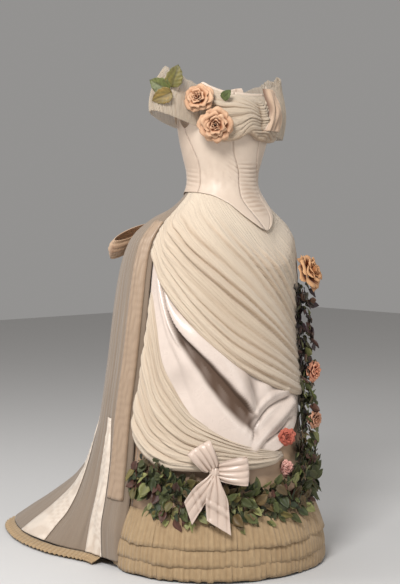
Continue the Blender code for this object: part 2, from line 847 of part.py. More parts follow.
def local_frame(angle, height, out, form):
    """The frame at a point that stands off a form, facing straight out of it."""
    normal = (form(angle, height, 1.0) - form(angle, height, 0.0)).normalized()
    return frame_at(form(angle, height, out), normal)


def turned(degrees, axis):
    return Matrix.Rotation(math.radians(degrees), 4, axis)


def mesh_object(name, shape, finish, collection):
    """An object from a bmesh, which is freed."""
    mesh = bpy.data.meshes.new(name)
    shape.to_mesh(mesh)
    shape.free()
    mesh.materials.append(finish_material(finish))
    piece = bpy.data.objects.new(name, mesh)
    collection.objects.link(piece)
    return piece


RosePoint = namedtuple("RosePoint", "radius height wave")
ROSE = (
    RosePoint(0.00, 0.44, 0.00),
    RosePoint(0.15, 0.56, 0.03),
    RosePoint(0.26, 0.34, 0.04),
    RosePoint(0.44, 0.52, 0.07),
    RosePoint(0.58, 0.26, 0.07),
    RosePoint(0.86, 0.36, 0.12),
    RosePoint(1.00, 0.12, 0.14),
    RosePoint(0.72, -0.10, 0.05),
    RosePoint(0.00, -0.24, 0.00),
)
ROSE_PETALS = 5


def rose(name, frame, radius, finish, parts, side_count):
    """A cloth rose as rings of petals round a bud, from a sphere whose rings are moved."""
    shape = bmesh.new()
    bmesh.ops.create_uvsphere(shape, u_segments=side_count, v_segments=len(ROSE) - 1, radius=1)
    for vert in shape.verts:
        ring = round(math.acos(max(-1, min(1, vert.co.z))) / math.pi * (len(ROSE) - 1))
        turn = math.atan2(vert.co.y, vert.co.x)
        row = ROSE[ring]
        wave = row.wave * math.cos(ROSE_PETALS * turn + 2.1 * ring)
        reach = row.radius + wave
        vert.co = Vector((reach * math.cos(turn), reach * math.sin(turn), row.height + 0.6 * wave)) * radius
    shape.transform(frame)
    return mesh_object(name, shape, finish, parts)


Rose = namedtuple("Rose", "name form angle height out radius tilt_up tilt_side finish sides")
ROSES = (
    Rose("bust_rose_upper", bodice_point, -63, 1.266, 0.0390, 0.038, 16, 4, "rose_petal", 15),
    Rose("bust_rose_lower", bodice_point, -48, 1.197, 0.0450, 0.044, -8, 4, "rose_petal", 15),
    Rose("side_rose_large", skirt_point, 52, 0.795, 0.0540, 0.050, 24, -24, "rose_petal", 15),
    Rose("side_rose_small", skirt_point, 48, 0.520, 0.0600, 0.026, 0, -30, "bud_petal", 10),
    Rose("side_flower_peach", skirt_point, 42, 0.388, 0.0480, 0.024, -10, -30, "rose_petal", 10),
    Rose("side_flower_red", skirt_point, 8, 0.362, 0.0440, 0.022, 0, -30, "bud_petal", 10),
    Rose("side_bud_pink", skirt_point, 8, 0.276, 0.0300, 0.019, 0, -20, "bud_petal", 10),
)


def build_roses(parts):
    for row in ROSES:
        level = local_frame(row.angle, row.height, row.out, row.form)
        frame = level @ turned(-row.tilt_up, "X") @ turned(row.tilt_side, "Y")
        flower = rose(row.name, frame, row.radius, row.finish, parts, row.sides)
        seat(flower, -level.col[2].to_3d(), parts)


LeafPoint = namedtuple("LeafPoint", "along half_width sag")
LEAF = (
    LeafPoint(0.00, 0.10, 0.00),
    LeafPoint(0.42, 0.50, 0.05),
    LeafPoint(1.00, 0.05, -0.08),
)
LEAF_FOLD = 0.16
LEAF_WALL = 0.0014
LEAF_WIDTH = 0.62
# Degrees: how far a leaf turns from its stem, and how far its tip lifts off the cloth.
LEAF_SPREAD = 62
LEAF_LIFT = 25


def leaf_faces(shape, frame, length, width):
    """Adds one closed leaf to a bmesh: three ribs of points along Y, thickened both ways."""
    rings = []
    for row in LEAF:
        for across in (-1, 0, 1):
            lift = row.sag * length + abs(across) * LEAF_FOLD * row.half_width * width
            at = Vector((across * row.half_width * width, row.along * length, lift))
            half = Vector((0, 0, LEAF_WALL / 2))
            rings.append([shape.verts.new(frame @ (at - half)), shape.verts.new(frame @ (at + half))])
    count = len(LEAF)
    for j in range(count - 1):
        for i in (0, 1):
            a, b, c, d = (3 * j + i, 3 * j + i + 1, 3 * j + i + 4, 3 * j + i + 3)
            shape.faces.new([rings[k][1] for k in (a, b, c, d)])
            shape.faces.new([rings[k][0] for k in (d, c, b, a)])
    border = [0, 1, 2] + [3 * j + 2 for j in range(1, count)] + [3 * count - 2, 3 * count - 3]
    border += [3 * j for j in range(count - 2, 0, -1)]
    for k, after in zip(border, border[1:] + border[:1]):
        shape.faces.new([rings[k][0], rings[after][0], rings[after][1], rings[k][1]])


def vine_mesh(name, route, radius, collection):
    """A stem along a smooth route, as one closed mesh."""
    curve = bpy.data.curves.new(name, "CURVE")
    curve.dimensions = "3D"
    curve.bevel_depth = radius
    curve.bevel_resolution = 0
    curve.use_fill_caps = True
    spline = curve.splines.new("POLY")
    spline.points.add(len(route) - 1)
    for point, place in zip(spline.points, route):
        point.co = (*place, 1)
    guide = bpy.data.objects.new(name + "_guide", curve)
    collection.objects.link(guide)
    bpy.context.view_layer.update()
    mesh = bpy.data.meshes.new_from_object(guide.evaluated_get(bpy.context.evaluated_depsgraph_get()))
    shape = bmesh.new()
    shape.from_mesh(mesh)
    bmesh.ops.remove_doubles(shape, verts=shape.verts, dist=0.0001)
    bpy.data.meshes.remove(mesh)
    bpy.data.objects.remove(guide, do_unlink=True)
    return shape


VineStop = namedtuple("VineStop", "angle height out")
Garland = namedtuple("Garland", "name finish stops steps leaves leaf_length first_turn seated")
VINE_RADIUS = 0.0028
GARLANDS = (
    Garland(
        "hem_garland_right",
        "leaf_cloth",
        (VineStop(-95, 0.292, 0.0034), VineStop(-78, 0.224, 0.0034), VineStop(-62, 0.202, 0.0034)),
        6,
        8,
        0.054,
        25,
        False,
    ),
    Garland(
        "hem_garland_front",
        "leaf_cloth",
        (VineStop(-60, 0.201, 0.0034), VineStop(-42, 0.195, 0.0034), VineStop(-20, 0.193, 0.0034)),
        5,
        7,
        0.052,
        -35,
        False,
    ),
    Garland(
        "hem_garland_left",
        "leaf_cloth",
        (VineStop(-18, 0.194, 0.0038), VineStop(6, 0.202, 0.0038), VineStop(38, 0.226, 0.0038)),
        7,
        8,
        0.052,
        30,
        False,
    ),
    Garland(
        "hem_garland_far",
        "leaf_cloth",
        (VineStop(40, 0.228, 0.0038), VineStop(66, 0.240, 0.0040), VineStop(92, 0.262, 0.0042)),
        7,
        7,
        0.054,
        -30,
        False,
    ),
    Garland(
        "side_garland_upper",
        "leaf_dark",
        (VineStop(51, 0.752, 0.0375), VineStop(50, 0.640, 0.0375), VineStop(50, 0.540, 0.0375)),
        4,
        7,
        0.054,
        20,
        True,
    ),
    Garland(
        "side_garland_lower",
        "leaf_autumn",
        (
            VineStop(50, 0.498, 0.0375),
            VineStop(50, 0.455, 0.0375),
            VineStop(47, 0.385, 0.0140),
            VineStop(31, 0.310, 0.0060),
            VineStop(22, 0.238, 0.0034),
        ),
        8,
        8,
        0.052,
        -20,
        True,
    ),
)


def garland_route(garland):
    """Points and frames along the stem, evenly stepped through its stops."""
    keys = list(range(len(garland.stops)))
    columns = list(zip(*garland.stops))
    places = []
    for share in spread(0, keys[-1], garland.steps):
        angle, height, out = (smooth(keys, column, share) for column in columns)
        places.append(local_frame(angle, height, out, skirt_point))
    return places


def build_garland(garland, parts, cutters):
    """A stem with leaves to either side of it, fused into one piece."""
    frames = garland_route(garland)
    stem = vine_mesh(garland.name, [frame.translation for frame in frames], VINE_RADIUS, cutters)
    piece = mesh_object(garland.name, stem, garland.finish, parts)
    leaves = bmesh.new()
    for number in range(garland.leaves):
        share = (number + 0.5) / garland.leaves * garland.steps
        here, after = frames[int(share)], frames[int(share) + 1]
        frame = here.copy()
        frame.translation = here.translation.lerp(after.translation, share % 1)
        local = here.to_3x3().inverted() @ (after.translation - here.translation)
        heading = math.degrees(math.atan2(-local.x, local.y))
        side = 1 if number % 2 else -1
        spin = heading + side * (LEAF_SPREAD + garland.first_turn * math.sin(2.3 * number))
        lift = LEAF_LIFT + 7 * math.sin(1.7 * number)
        length = garland.leaf_length * (1 + 0.16 * math.sin(4.1 * number + garland.first_turn))
        leaf_faces(leaves, frame @ turned(spin, "Z") @ turned(lift, "X"), length, length * LEAF_WIDTH)
    cutter = mesh_object(garland.name + "_leaves", leaves, garland.finish, cutters)
    cutter.hide_render = True
    cutter.display_type = "WIRE"
    union = piece.modifiers.new("leaves", "BOOLEAN")
    union.operation = "UNION"
    union.use_self = True
    union.object = cutter
    if garland.seated:
        middle = frames[len(frames) // 2]
        seat(piece, -middle.col[2].to_3d(), parts, cutter)


BustLeaf = namedtuple("BustLeaf", "name across out height spin lift length finish")
# The cluster on the right shoulder: across and out are measured on axes turned to face it.
CLUSTER_ANGLE = -46
BUST_LEAVES = (
    BustLeaf("bust_leaf_top", -0.120, 0.188, 1.296, -16, 6, 0.060, "leaf_autumn"),
    BustLeaf("bust_leaf_outer", -0.132, 0.190, 1.288, 62, 2, 0.058, "leaf_cloth"),
    BustLeaf("bust_leaf_low", -0.124, 0.206, 1.276, 112, 0, 0.056, "leaf_autumn"),
    BustLeaf("bust_leaf_inner", 0.012, 0.142, 1.266, -46, 30, 0.034, "leaf_cloth"),
)


def build_bust_leaves(parts):
    turn = math.radians(CLUSTER_ANGLE)
    across = Vector((math.cos(turn), math.sin(turn), 0))
    normal = Vector((math.sin(turn), -math.cos(turn), 0))
    for leaf in BUST_LEAVES:
        point = across * leaf.across + normal * leaf.out
        point.z = leaf.height - WAIST_HEIGHT
        frame = frame_at(point, normal) @ turned(leaf.spin, "Z") @ turned(leaf.lift, "X")
        shape = bmesh.new()
        leaf_faces(shape, frame, leaf.length, leaf.length * 0.75)
        seat(mesh_object(leaf.name, shape, leaf.finish, parts), -normal, parts)


RibbonLoop = namedtuple("RibbonLoop", "name length width puff direction swing level")
RibbonTail = namedtuple("RibbonTail", "name length width direction level lean")
LOOP_STEPS = 7
LOOP_WAIST = 0.36
TAIL_STEPS = 5
LOOP_ENDS = math.radians(24)


def loop_grid(frame, loop):
    """A ribbon out along X from the knot, over at its far end and back under itself."""
    points = []
    for across in (-1, -0.34, 0.34, 1):
        line = []
        for turn in spread(-math.pi + LOOP_ENDS, math.pi - LOOP_ENDS, LOOP_STEPS):
            share = (1 + math.cos(turn)) / 2
            narrow = mix(LOOP_WAIST, 1, share**0.4)
            rise = loop.puff * (math.sin(turn) * math.sqrt(share) + 0.55 * share) * (1 - 0.18 * across**2)
            line.append(frame @ Vector((loop.length * share, across * loop.width / 2 * narrow, rise)))
        points.append(line)
    return points


def tail_grid(frame, tail):
    """A ribbon end that hangs from the knot and is cut to a slant."""
    points = []
    for share in spread(1, 0, TAIL_STEPS):
        line = []
        for across in (-1, 0, 1):
            width = tail.width * mix(0.35, 1.0, ease(share / 0.55))
            cut = 0.16 * tail.length * share * across * (1 if share == 1 else 0.4)
            rise = 0.004 * math.sin(7 * share) * (1 + across * 0.5) + tail.lean * share
            line.append(frame @ Vector((tail.length * share + cut, across * width / 2, rise)))
        points.append(line)
    return points


def knot(name, frame, size, finish, parts):
    shape = bmesh.new()
    bmesh.ops.create_uvsphere(shape, u_segments=8, v_segments=6, radius=1)
    shape.transform(frame @ Matrix.Diagonal((*size, 1)))
    return mesh_object(name, shape, finish, parts)


Bow = namedtuple("Bow", "angle height out tilt knot_size finish loops tails")
FRONT_BOW = Bow(
    -42,
    0.292,
    0.054,
    0,
    (0.013, 0.016, 0.010),
    "satin_ivory",
    (
        RibbonLoop("front_bow_loop_right", 0.072, 0.070, 0.017, 122, 0, 0.0),
        RibbonLoop("front_bow_loop_left", 0.078, 0.074, 0.017, 2, 0, 0.0),
    ),
    (
        RibbonTail("front_bow_tail_right", 0.112, 0.048, -124, -0.002, -0.004),
        RibbonTail("front_bow_tail_left", 0.130, 0.058, -86, 0.004, 0.010),
    ),
)
BACK_BOW = Bow(
    180,
    0.912,
    0.096,
    -38,
    (0.018, 0.026, 0.012),
    "satin_peach",
    (
        RibbonLoop("back_bow_loop_left", 0.150, 0.080, 0.020, 200, -15, 0.018),
        RibbonLoop("back_bow_loop_right", 0.150, 0.080, 0.020, -20, 15, 0.018),
    ),
    (),
)


def build_bow(name, bow, parts):
    """A knot with its loops and tails, each starting a seat's gap from the knot."""
    frame = local_frame(bow.angle, bow.height, bow.out, skirt_point) @ turned(bow.tilt, "X")
    middle = knot(f"{name}_knot", frame, bow.knot_size, bow.finish, parts)
    seat(middle, -frame.col[2].to_3d(), parts)
    frame.translation = sum((vert.co for vert in middle.data.vertices), Vector()) / len(middle.data.vertices)
    clear = bow.knot_size[1] * 1.3
    for loop in bow.loops:
        way = turned(loop.swing, "Y") @ turned(loop.direction, "Z")
        start = frame @ way @ Matrix.Translation((clear, 0, loop.level))
        ribbon = cloth(loop.name, loop_grid(start, loop), TULLE_WALL, bow.finish, parts)
        seat(ribbon, -start.col[0].to_3d(), parts)
    for tail in bow.tails:
        start = frame @ turned(tail.direction, "Z") @ Matrix.Translation((clear, 0, tail.level))
        ribbon = cloth(tail.name, tail_grid(start, tail), TULLE_WALL, bow.finish, parts)
        seat(ribbon, -start.col[0].to_3d(), parts)


SHOULDER_FOLDS = 3
SHOULDER_FOLD_ROWS = 5
SHOULDER_FOLD_DEPTH = 0.007


def build_shoulder_folds(parts):
    """The satin folds that catch the tulle over the left breast."""
    points = []
    for share in spread(0, 1, SHOULDER_FOLD_ROWS):
        line = []
        for across in spread(0, 1, SHOULDER_FOLDS * 4):
            angle = mix(mix(14, 48, across), mix(26, 61, across), share)
            height = mix(1.180, 1.292, share)
            wave = SHOULDER_FOLD_DEPTH / 2 * (1 - math.cos(2 * math.pi * SHOULDER_FOLDS * across))
            clear = mix(BERTHA_REACH + 0.0070, 0.0180, ease((share - 0.55) / 0.45))
            line.append(bodice_point(angle, height, clear + wave))
        points.append(line)
    folds = cloth("shoulder_folds_left", points, TULLE_WALL, "satin_ivory", parts)
    seat(folds, (bodice_point(37, 1.24, 0.0) - bodice_point(37, 1.24, 1.0)).normalized(), parts)


def build_gown():
    clear_scene()
    parts = new_collection("bustle_gown")
    cutters = new_collection("bustle_gown_cutters")
    build_underskirt(parts)
    build_flounces(parts)
    build_satin_apron(parts)
    build_tulle_apron(parts)
    build_tulle_swag(parts)
    build_train(parts)
    build_bodice(parts)
    build_bertha(parts)
    build_sleeves(parts)
    build_shoulder_folds(parts)
    for garland in GARLANDS:
        build_garland(garland, parts, cutters)
    build_roses(parts)
    build_bust_leaves(parts)
    build_bow("front_bow", FRONT_BOW, parts)
    build_bow("back_bow", BACK_BOW, parts)


build_gown()
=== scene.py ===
"""The looks of a draped ball gown with a bustle, a train and flower garlands.

Metres, +Z up, centre front towards -Y, the origin at the middle of the waist. Tables give
heights above the floor and angles in degrees round the body from the centre front, positive
to the wearer's left, as in the CAD source whose forms they repeat.
"""

import logging
import math
from collections.abc import Callable
from dataclasses import dataclass, field
from enum import Enum

import bpy
import numpy as np
from mathutils import Matrix, Vector


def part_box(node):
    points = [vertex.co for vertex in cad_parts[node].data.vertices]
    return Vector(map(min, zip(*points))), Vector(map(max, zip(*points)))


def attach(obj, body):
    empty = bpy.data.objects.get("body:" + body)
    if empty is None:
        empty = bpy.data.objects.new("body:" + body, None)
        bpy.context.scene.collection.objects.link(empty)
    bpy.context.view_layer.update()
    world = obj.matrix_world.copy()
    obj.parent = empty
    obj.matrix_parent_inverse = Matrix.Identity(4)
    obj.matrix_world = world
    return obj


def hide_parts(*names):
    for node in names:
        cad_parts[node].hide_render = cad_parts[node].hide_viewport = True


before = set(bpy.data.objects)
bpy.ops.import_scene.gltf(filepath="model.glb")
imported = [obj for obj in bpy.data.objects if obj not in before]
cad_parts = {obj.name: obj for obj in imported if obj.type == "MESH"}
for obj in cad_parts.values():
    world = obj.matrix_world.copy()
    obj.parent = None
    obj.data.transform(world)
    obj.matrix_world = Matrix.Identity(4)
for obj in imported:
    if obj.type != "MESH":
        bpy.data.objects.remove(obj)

Grid = np.ndarray
Stops = tuple[tuple[float, ...], ...]

WAIST = 1.035
SKIRT_TOP = 1.030
# The angle of the right edge of the satin and of the upper net drape.
DRAPE_EDGE = -104
SATIN_WALL = 0.0012
TULLE_WALL = 0.0008
LOG = logging.getLogger("gown")


def ease(value: Grid | float) -> Grid:
    """0 to 1 with level ends."""
    t = np.clip(value, 0.0, 1.0)
    return t * t * (3 - 2 * t)


def mix(start: Grid | float, end: Grid | float, share: Grid | float) -> Grid:
    """The value at a share of the way from start to end."""
    return start + (end - start) * share


def hill(value: Grid, reach: float) -> Grid:
    """1 at zero, falling smoothly to 0 at the reach on both sides."""
    return ease(1 - np.abs(value) / reach)


class Line:
    """A monotone cubic through stops of (key, value), held level past both ends."""

    def __init__(self, stops: Stops) -> None:
        """Works out the slope at every stop.

        Args:
            stops: pairs of key and value, keys rising.
        """
        self.keys = np.array([stop[0] for stop in stops], float)
        self.values = np.array([stop[1] for stop in stops], float)
        steps = np.diff(self.keys)
        rises = np.diff(self.values) / steps
        self.slopes = np.empty(len(self.keys))
        self.slopes[0] = rises[0]
        self.slopes[-1] = rises[-1]
        for i in range(1, len(rises)):
            before, after = rises[i - 1], rises[i]
            wide = 2 * steps[i] + steps[i - 1]
            narrow = steps[i] + 2 * steps[i - 1]
            level = before * after <= 0
            self.slopes[i] = 0 if level else (wide + narrow) / (wide / before + narrow / after)

    def __call__(self, key: Grid | float) -> Grid:
        """The line's value at each key."""
        at = np.clip(key, self.keys[0], self.keys[-1])
        place = np.clip(np.searchsorted(self.keys, at, side="right") - 1, 0, len(self.keys) - 2)
        step = self.keys[place + 1] - self.keys[place]
        t = (at - self.keys[place]) / step
        return (
            (2 * t**3 - 3 * t**2 + 1) * self.values[place]
            + (t**3 - 2 * t**2 + t) * step * self.slopes[place]
            + (3 * t**2 - 2 * t**3) * self.values[place + 1]
            + (t**3 - t**2) * step * self.slopes[place + 1]
        )


class Form:
    """An oval body whose half width, front depth, back depth and lean change with height."""

    def __init__(self, rings: Stops) -> None:
        """Reads rings of (height, half width, front, back, lean)."""
        self.half_width, self.front, self.back, self.lean = (
            Line(tuple((ring[0], ring[column]) for ring in rings)) for column in range(1, 5)
        )

    def point(self, angle: Grid, height: Grid, out: Grid | float = 0.0) -> Grid:
        """Points on the form.

        Args:
            angle: degrees round the body.
            height: height above the floor.
            out: how far the points stand off the form, level.

        Returns:
            An array with x, y and z last.
        """
        angle, height, out = np.broadcast_arrays(angle, height, out)
        turn = np.radians(angle)
        wide = self.half_width(height)
        deep = np.where(np.cos(turn) > 0, self.front(height), self.back(height))
        normal = np.stack([np.sin(turn) / wide, -np.cos(turn) / deep], axis=-1)
        normal = normal / np.linalg.norm(normal, axis=-1, keepdims=True)
        x = self.lean(height) + wide * np.sin(turn) + normal[..., 0] * out
        y = -deep * np.cos(turn) + normal[..., 1] * out
        return np.stack([x, y, height - WAIST], axis=-1)


SKIRT = Form(
    (
        (0.000, 0.294, 0.272, 0.275, -0.014),
        (0.150, 0.274, 0.250, 0.258, -0.014),
        (0.300, 0.255, 0.221, 0.243, -0.013),
        (0.420, 0.243, 0.200, 0.236, -0.012),
        (0.550, 0.227, 0.183, 0.228, -0.010),
        (0.700, 0.214, 0.172, 0.221, -0.006),
        (0.800, 0.207, 0.170, 0.215, -0.003),
        (0.880, 0.194, 0.164, 0.200, -0.002),
        (0.930, 0.170, 0.150, 0.170, 0.000),
        (0.980, 0.133, 0.118, 0.122, 0.000),
        (1.010, 0.109, 0.096, 0.090, 0.000),
        (1.035, 0.0935, 0.0855, 0.080, 0.000),
    )
)
TRUNK = Form(
    (
        (1.035, 0.1012, 0.0932, 0.0877, 0.0),
        (1.070, 0.1045, 0.0955, 0.0895, 0.0),
        (1.110, 0.1170, 0.1040, 0.0930, 0.0),
        (1.150, 0.1290, 0.1150, 0.0970, 0.0),
        (1.190, 0.1370, 0.1240, 0.1000, 0.0),
        (1.230, 0.1400, 0.1270, 0.1040, 0.0),
        (1.270, 0.1380, 0.1180, 0.1060, 0.0),
        (1.310, 0.1350, 0.1050, 0.1050, 0.0),
        (1.360, 0.1350, 0.1000, 0.1050, 0.0),
    )
)
BASQUE_HEM = Line(
    (
        (-180, 0.996),
        (-150, 1.004),
        (-118, 1.018),
        (-90, 1.018),
        (-60, 1.012),
        (-32, 0.988),
        (-14, 0.945),
        (3, 0.915),
        (20, 0.950),
        (36, 0.990),
        (60, 1.012),
        (90, 1.018),
        (118, 1.018),
        (150, 1.004),
        (180, 0.996),
    )
)
NECKLINE = Line(
    (
        (0, 1.282),
        (30, 1.286),
        (50, 1.300),
        (62, 1.312),
        (70, 1.270),
        (78, 1.212),
        (90, 1.190),
        (102, 1.212),
        (110, 1.270),
        (118, 1.312),
        (150, 1.300),
        (180, 1.292),
    )
)


def skirt_point(angle: Grid, height: Grid, out: Grid | float = 0.0) -> Grid:
    """Points that stand off the skirt's form."""
    return SKIRT.point(angle, height, out)


def bodice_point(angle: Grid, height: Grid, out: Grid | float = 0.0) -> Grid:
    """Points that stand off the bodice, which lies over the skirt's layers below the waist."""
    angle, height, out = np.broadcast_arrays(angle, height, out)
    proud = 0.0077 + 0.0058 * ease((1.0 - height) / 0.05)
    low = SKIRT.point(angle, height, proud + out)
    return np.where((height < WAIST)[..., None], low, TRUNK.point(angle, height, out))


def basque_swell(angle: Grid, height: Grid, reach: float) -> Grid:
    """0 where the basque presses on the layers, 1 a reach below its edge."""
    lowest = np.minimum(np.minimum(BASQUE_HEM(angle - 8), BASQUE_HEM(angle)), BASQUE_HEM(angle + 8))
    return ease((lowest - 0.018 - height) / reach)


def normals_of(points: Grid, closed: bool = False) -> Grid:
    """The outward normal at every point of a grid of rows from the bottom up."""
    if closed:
        along = np.roll(points, -1, axis=1) - np.roll(points, 1, axis=1)
    else:
        along = np.gradient(points, axis=1)
    normal = np.cross(along, np.gradient(points, axis=0))
    return normal / np.maximum(np.linalg.norm(normal, axis=-1, keepdims=True), 1e-9)


def raised(points: Grid, rise: Grid | float, closed: bool = False) -> Grid:
    """The grid moved along its own normals by a rise at every point."""
    return points + normals_of(points, closed) * np.broadcast_to(rise, points.shape[:2])[..., None]


def hollows(rise: Grid, reach: int = 6, depth: float = 0.004) -> Grid:
    """How deep every point lies among its neighbours, 0 to 1.

    Args:
        rise: the height of the folds at every point of a grid.
        reach: how many times the heights are averaged with those beside them.
        depth: the depth below that average which counts as 1.
    """
    around = rise
    for _ in range(reach):
        padded = np.pad(around, 1, mode="edge")
        around = (padded[:-2, 1:-1] + padded[2:, 1:-1] + padded[1:-1, :-2] + padded[1:-1, 2:]) / 4
    return np.clip((around - rise) / depth, 0, 1)


@dataclass(frozen=True)
class Folds:
    """Soft uneven folds side by side, steeper on their lower flank."""

    count: float
    depth: float
    seed: int
    lean: float = 0.35
    wander: float = 0.5

    def waves(self, along: Grid, across: Grid) -> tuple[Grid, Grid]:
        """Where every point lies in its own fold, and how large that fold is there.

        Args:
            along: the place along the folds, 0 to 1.
            across: the place across them, which meets count folds from 0 to 1.

        Returns:
            The phase from 0 to 1 and the size from 0 to 1.
        """
        draw = np.random.default_rng(self.seed)
        place = across * self.count
        for turns in (0.6, 1.3, 2.1):
            phase = draw.uniform(0, 2 * math.pi)
            sway = np.sin(2 * math.pi * turns * along + phase + place * 0.35)
            place = place + self.wander * 0.5 / turns * sway
        place = place + 0.30 * np.sin(place * 1.9 + draw.uniform(0, 6)) * self.wander
        number = np.floor(place).astype(int)
        phase = place - number
        sizes = draw.uniform(0.45, 1.0, 400)
        swells = draw.uniform(0.5, 1.6, 400)
        starts = draw.uniform(0, 2 * math.pi, 400)
        pick = number % 400
        swell = 0.72 + 0.28 * np.sin(2 * math.pi * swells[pick] * along + starts[pick])
        return phase, sizes[pick] * swell

    def rise(self, along: Grid, across: Grid) -> Grid:
        """The height of the folds, 0 in a valley."""
        phase, size = self.waves(along, across)
        warp = phase ** (math.log(0.5) / math.log(self.lean))
        return self.depth * size * np.sin(math.pi * np.clip(warp, 0, 1)) ** 0.9

    def valley(self, along: Grid, across: Grid) -> Grid:
        """How near every point lies to the shaded foot of its fold, 0 to 1."""
        phase, size = self.waves(along, across)
        near = np.exp(-((phase / 0.20) ** 2)) + 0.8 * np.exp(-(((1 - phase) / 0.10) ** 2))
        return np.clip(near * size * 1.2, 0, 1)


def ripple(along: Grid, across: Grid, seed: int, waves: int = 6) -> Grid:
    """Soft random undulation from -1 to 1, the same for the same seed."""
    draw = np.random.default_rng(seed)
    total = np.zeros(np.broadcast(along, across).shape)
    for _ in range(waves):
        turn = draw.uniform(0, 2 * math.pi)
        pace = draw.uniform(0.6, 2.4)
        start = draw.uniform(0, 6)
        place = along * math.cos(turn) + across * math.sin(turn)
        total = total + np.sin(2 * math.pi * pace * place + start)
    return total / waves


def knife_pleat(phase: Grid) -> Grid:
    """A pressed pleat's height over its width from 0 to 1: a long rise and a short fall."""
    return np.where(phase < 0.68, phase / 0.68, (1 - phase) / 0.32)


@dataclass
class Cloth:
    """A sheet of cloth as a grid of points on its inner face, rows from the bottom up."""

    name: str
    points: Grid
    wall: float
    finish: str
    closed: bool = False
    # A mask from 0 to 1 of painted shade in folds, hollows and under other parts, with some random tone; it
    # darkens the colour.
    fold: Grid | None = None
    strands: tuple[Grid, Grid] | None = None

    def make(self) -> bpy.types.Object:
        """Builds the mesh with its wall, its UV map along the strands and its mask of painted shade and tone."""
        rows, columns = self.points.shape[:2]
        index = np.arange(rows * columns).reshape(rows, columns)
        after = np.roll(index, -1, axis=1) if self.closed else index[:, 1:]
        here = index if self.closed else index[:, :-1]
        faces = np.stack([here[:-1], after[:-1], after[1:], here[1:]], axis=-1).reshape(-1, 4)
        mesh = bpy.data.meshes.new(self.name)
        mesh.from_pydata(self.points.reshape(-1, 3).tolist(), [], faces.tolist())
        if self.strands is None:
            along = np.linspace(0, 1, columns)[None, :]
            across = np.linspace(0, 1, rows)[:, None]
        else:
            along, across = self.strands
        flat = np.stack(np.broadcast_arrays(along, across, np.zeros((rows, columns)))[:2], axis=-1)
        layer = mesh.uv_layers.new(name="strands")
        layer.data.foreach_set("uv", flat.reshape(-1, 2)[faces.reshape(-1)].astype(np.float32).ravel())
        # The mask of painted shade and tone goes on every point.
        fold = np.zeros((rows, columns)) if self.fold is None else np.broadcast_to(self.fold, (rows, columns))
        depth = mesh.attributes.new("fold", "FLOAT", "POINT")
        depth.data.foreach_set("value", fold.astype(np.float32).ravel())
        piece = bpy.data.objects.new(self.name, mesh)
        bpy.context.scene.collection.objects.link(piece)
        wall = piece.modifiers.new("wall", "SOLIDIFY")
        wall.thickness = self.wall
        wall.offset = 1
        wall.use_even_offset = False
        finish_piece(piece, self.finish)
        return piece


def pick_only(piece: bpy.types.Object) -> None:
    """Makes a piece the only selected and the active object."""
    bpy.ops.object.select_all(action="DESELECT")
    piece.select_set(True)
    bpy.context.view_layer.objects.active = piece


def finish_piece(piece: bpy.types.Object, finish: str) -> None:
    """Applies a piece's modifiers, smooths it and gives it its finish."""
    pick_only(piece)
    for modifier in list(piece.modifiers):
        bpy.ops.object.modifier_apply(modifier=modifier.name)
    bpy.ops.object.shade_smooth()
    piece.data.materials.clear()
    piece.data.materials.append(FINISHES[finish].material("gown_" + finish))


class Held(Enum):
    HUNG = "hung"
    DRAPED = "draped"
    GATHERED = "gathered"
    FOLDED = "folded"
    STRETCHED = "stretched"


def dress(piece: bpy.types.Object, node: str) -> bpy.types.Object:
    """Lets a piece ride on the gown in place of a CAD node."""
    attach(piece, "root")
    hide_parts(node)
    return piece


@dataclass(frozen=True)
class Cut:
    """The cut of a sheet: its width, length and share of that rectangle, and what holds it."""

    width: float
    length: float
    share: float
    held: Held
    rests_on: tuple[str, ...]

    def declare(self, piece: bpy.types.Object) -> None:
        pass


# Finishes.


class Output:
    """An output of a node. The usual operators add Math nodes."""

    def __init__(self, bench: "Bench", socket: bpy.types.NodeSocket) -> None:
        """Keeps the socket and the bench that it is on."""
        self.bench = bench
        self.socket = socket

    def _maths(self, operation: str, first: object, second: object) -> "Output":
        """One Math node on two values or outputs."""
        return self.bench.node("ShaderNodeMath", {"operation": operation}, {0: first, 1: second})

    def __add__(self, other: object) -> "Output":
        """This plus the other."""
        return self._maths("ADD", self, other)

    __radd__ = __add__

    def __mul__(self, other: object) -> "Output":
        """This times the other."""
        return self._maths("MULTIPLY", self, other)

    __rmul__ = __mul__

    def __sub__(self, other: object) -> "Output":
        """This less the other."""
        return self._maths("SUBTRACT", self, other)

    def __rsub__(self, other: object) -> "Output":
        """The other less this."""
        return self._maths("SUBTRACT", other, self)

    def __pow__(self, other: object) -> "Output":
        """This to the power of the other."""
        return self._maths("POWER", self, other)


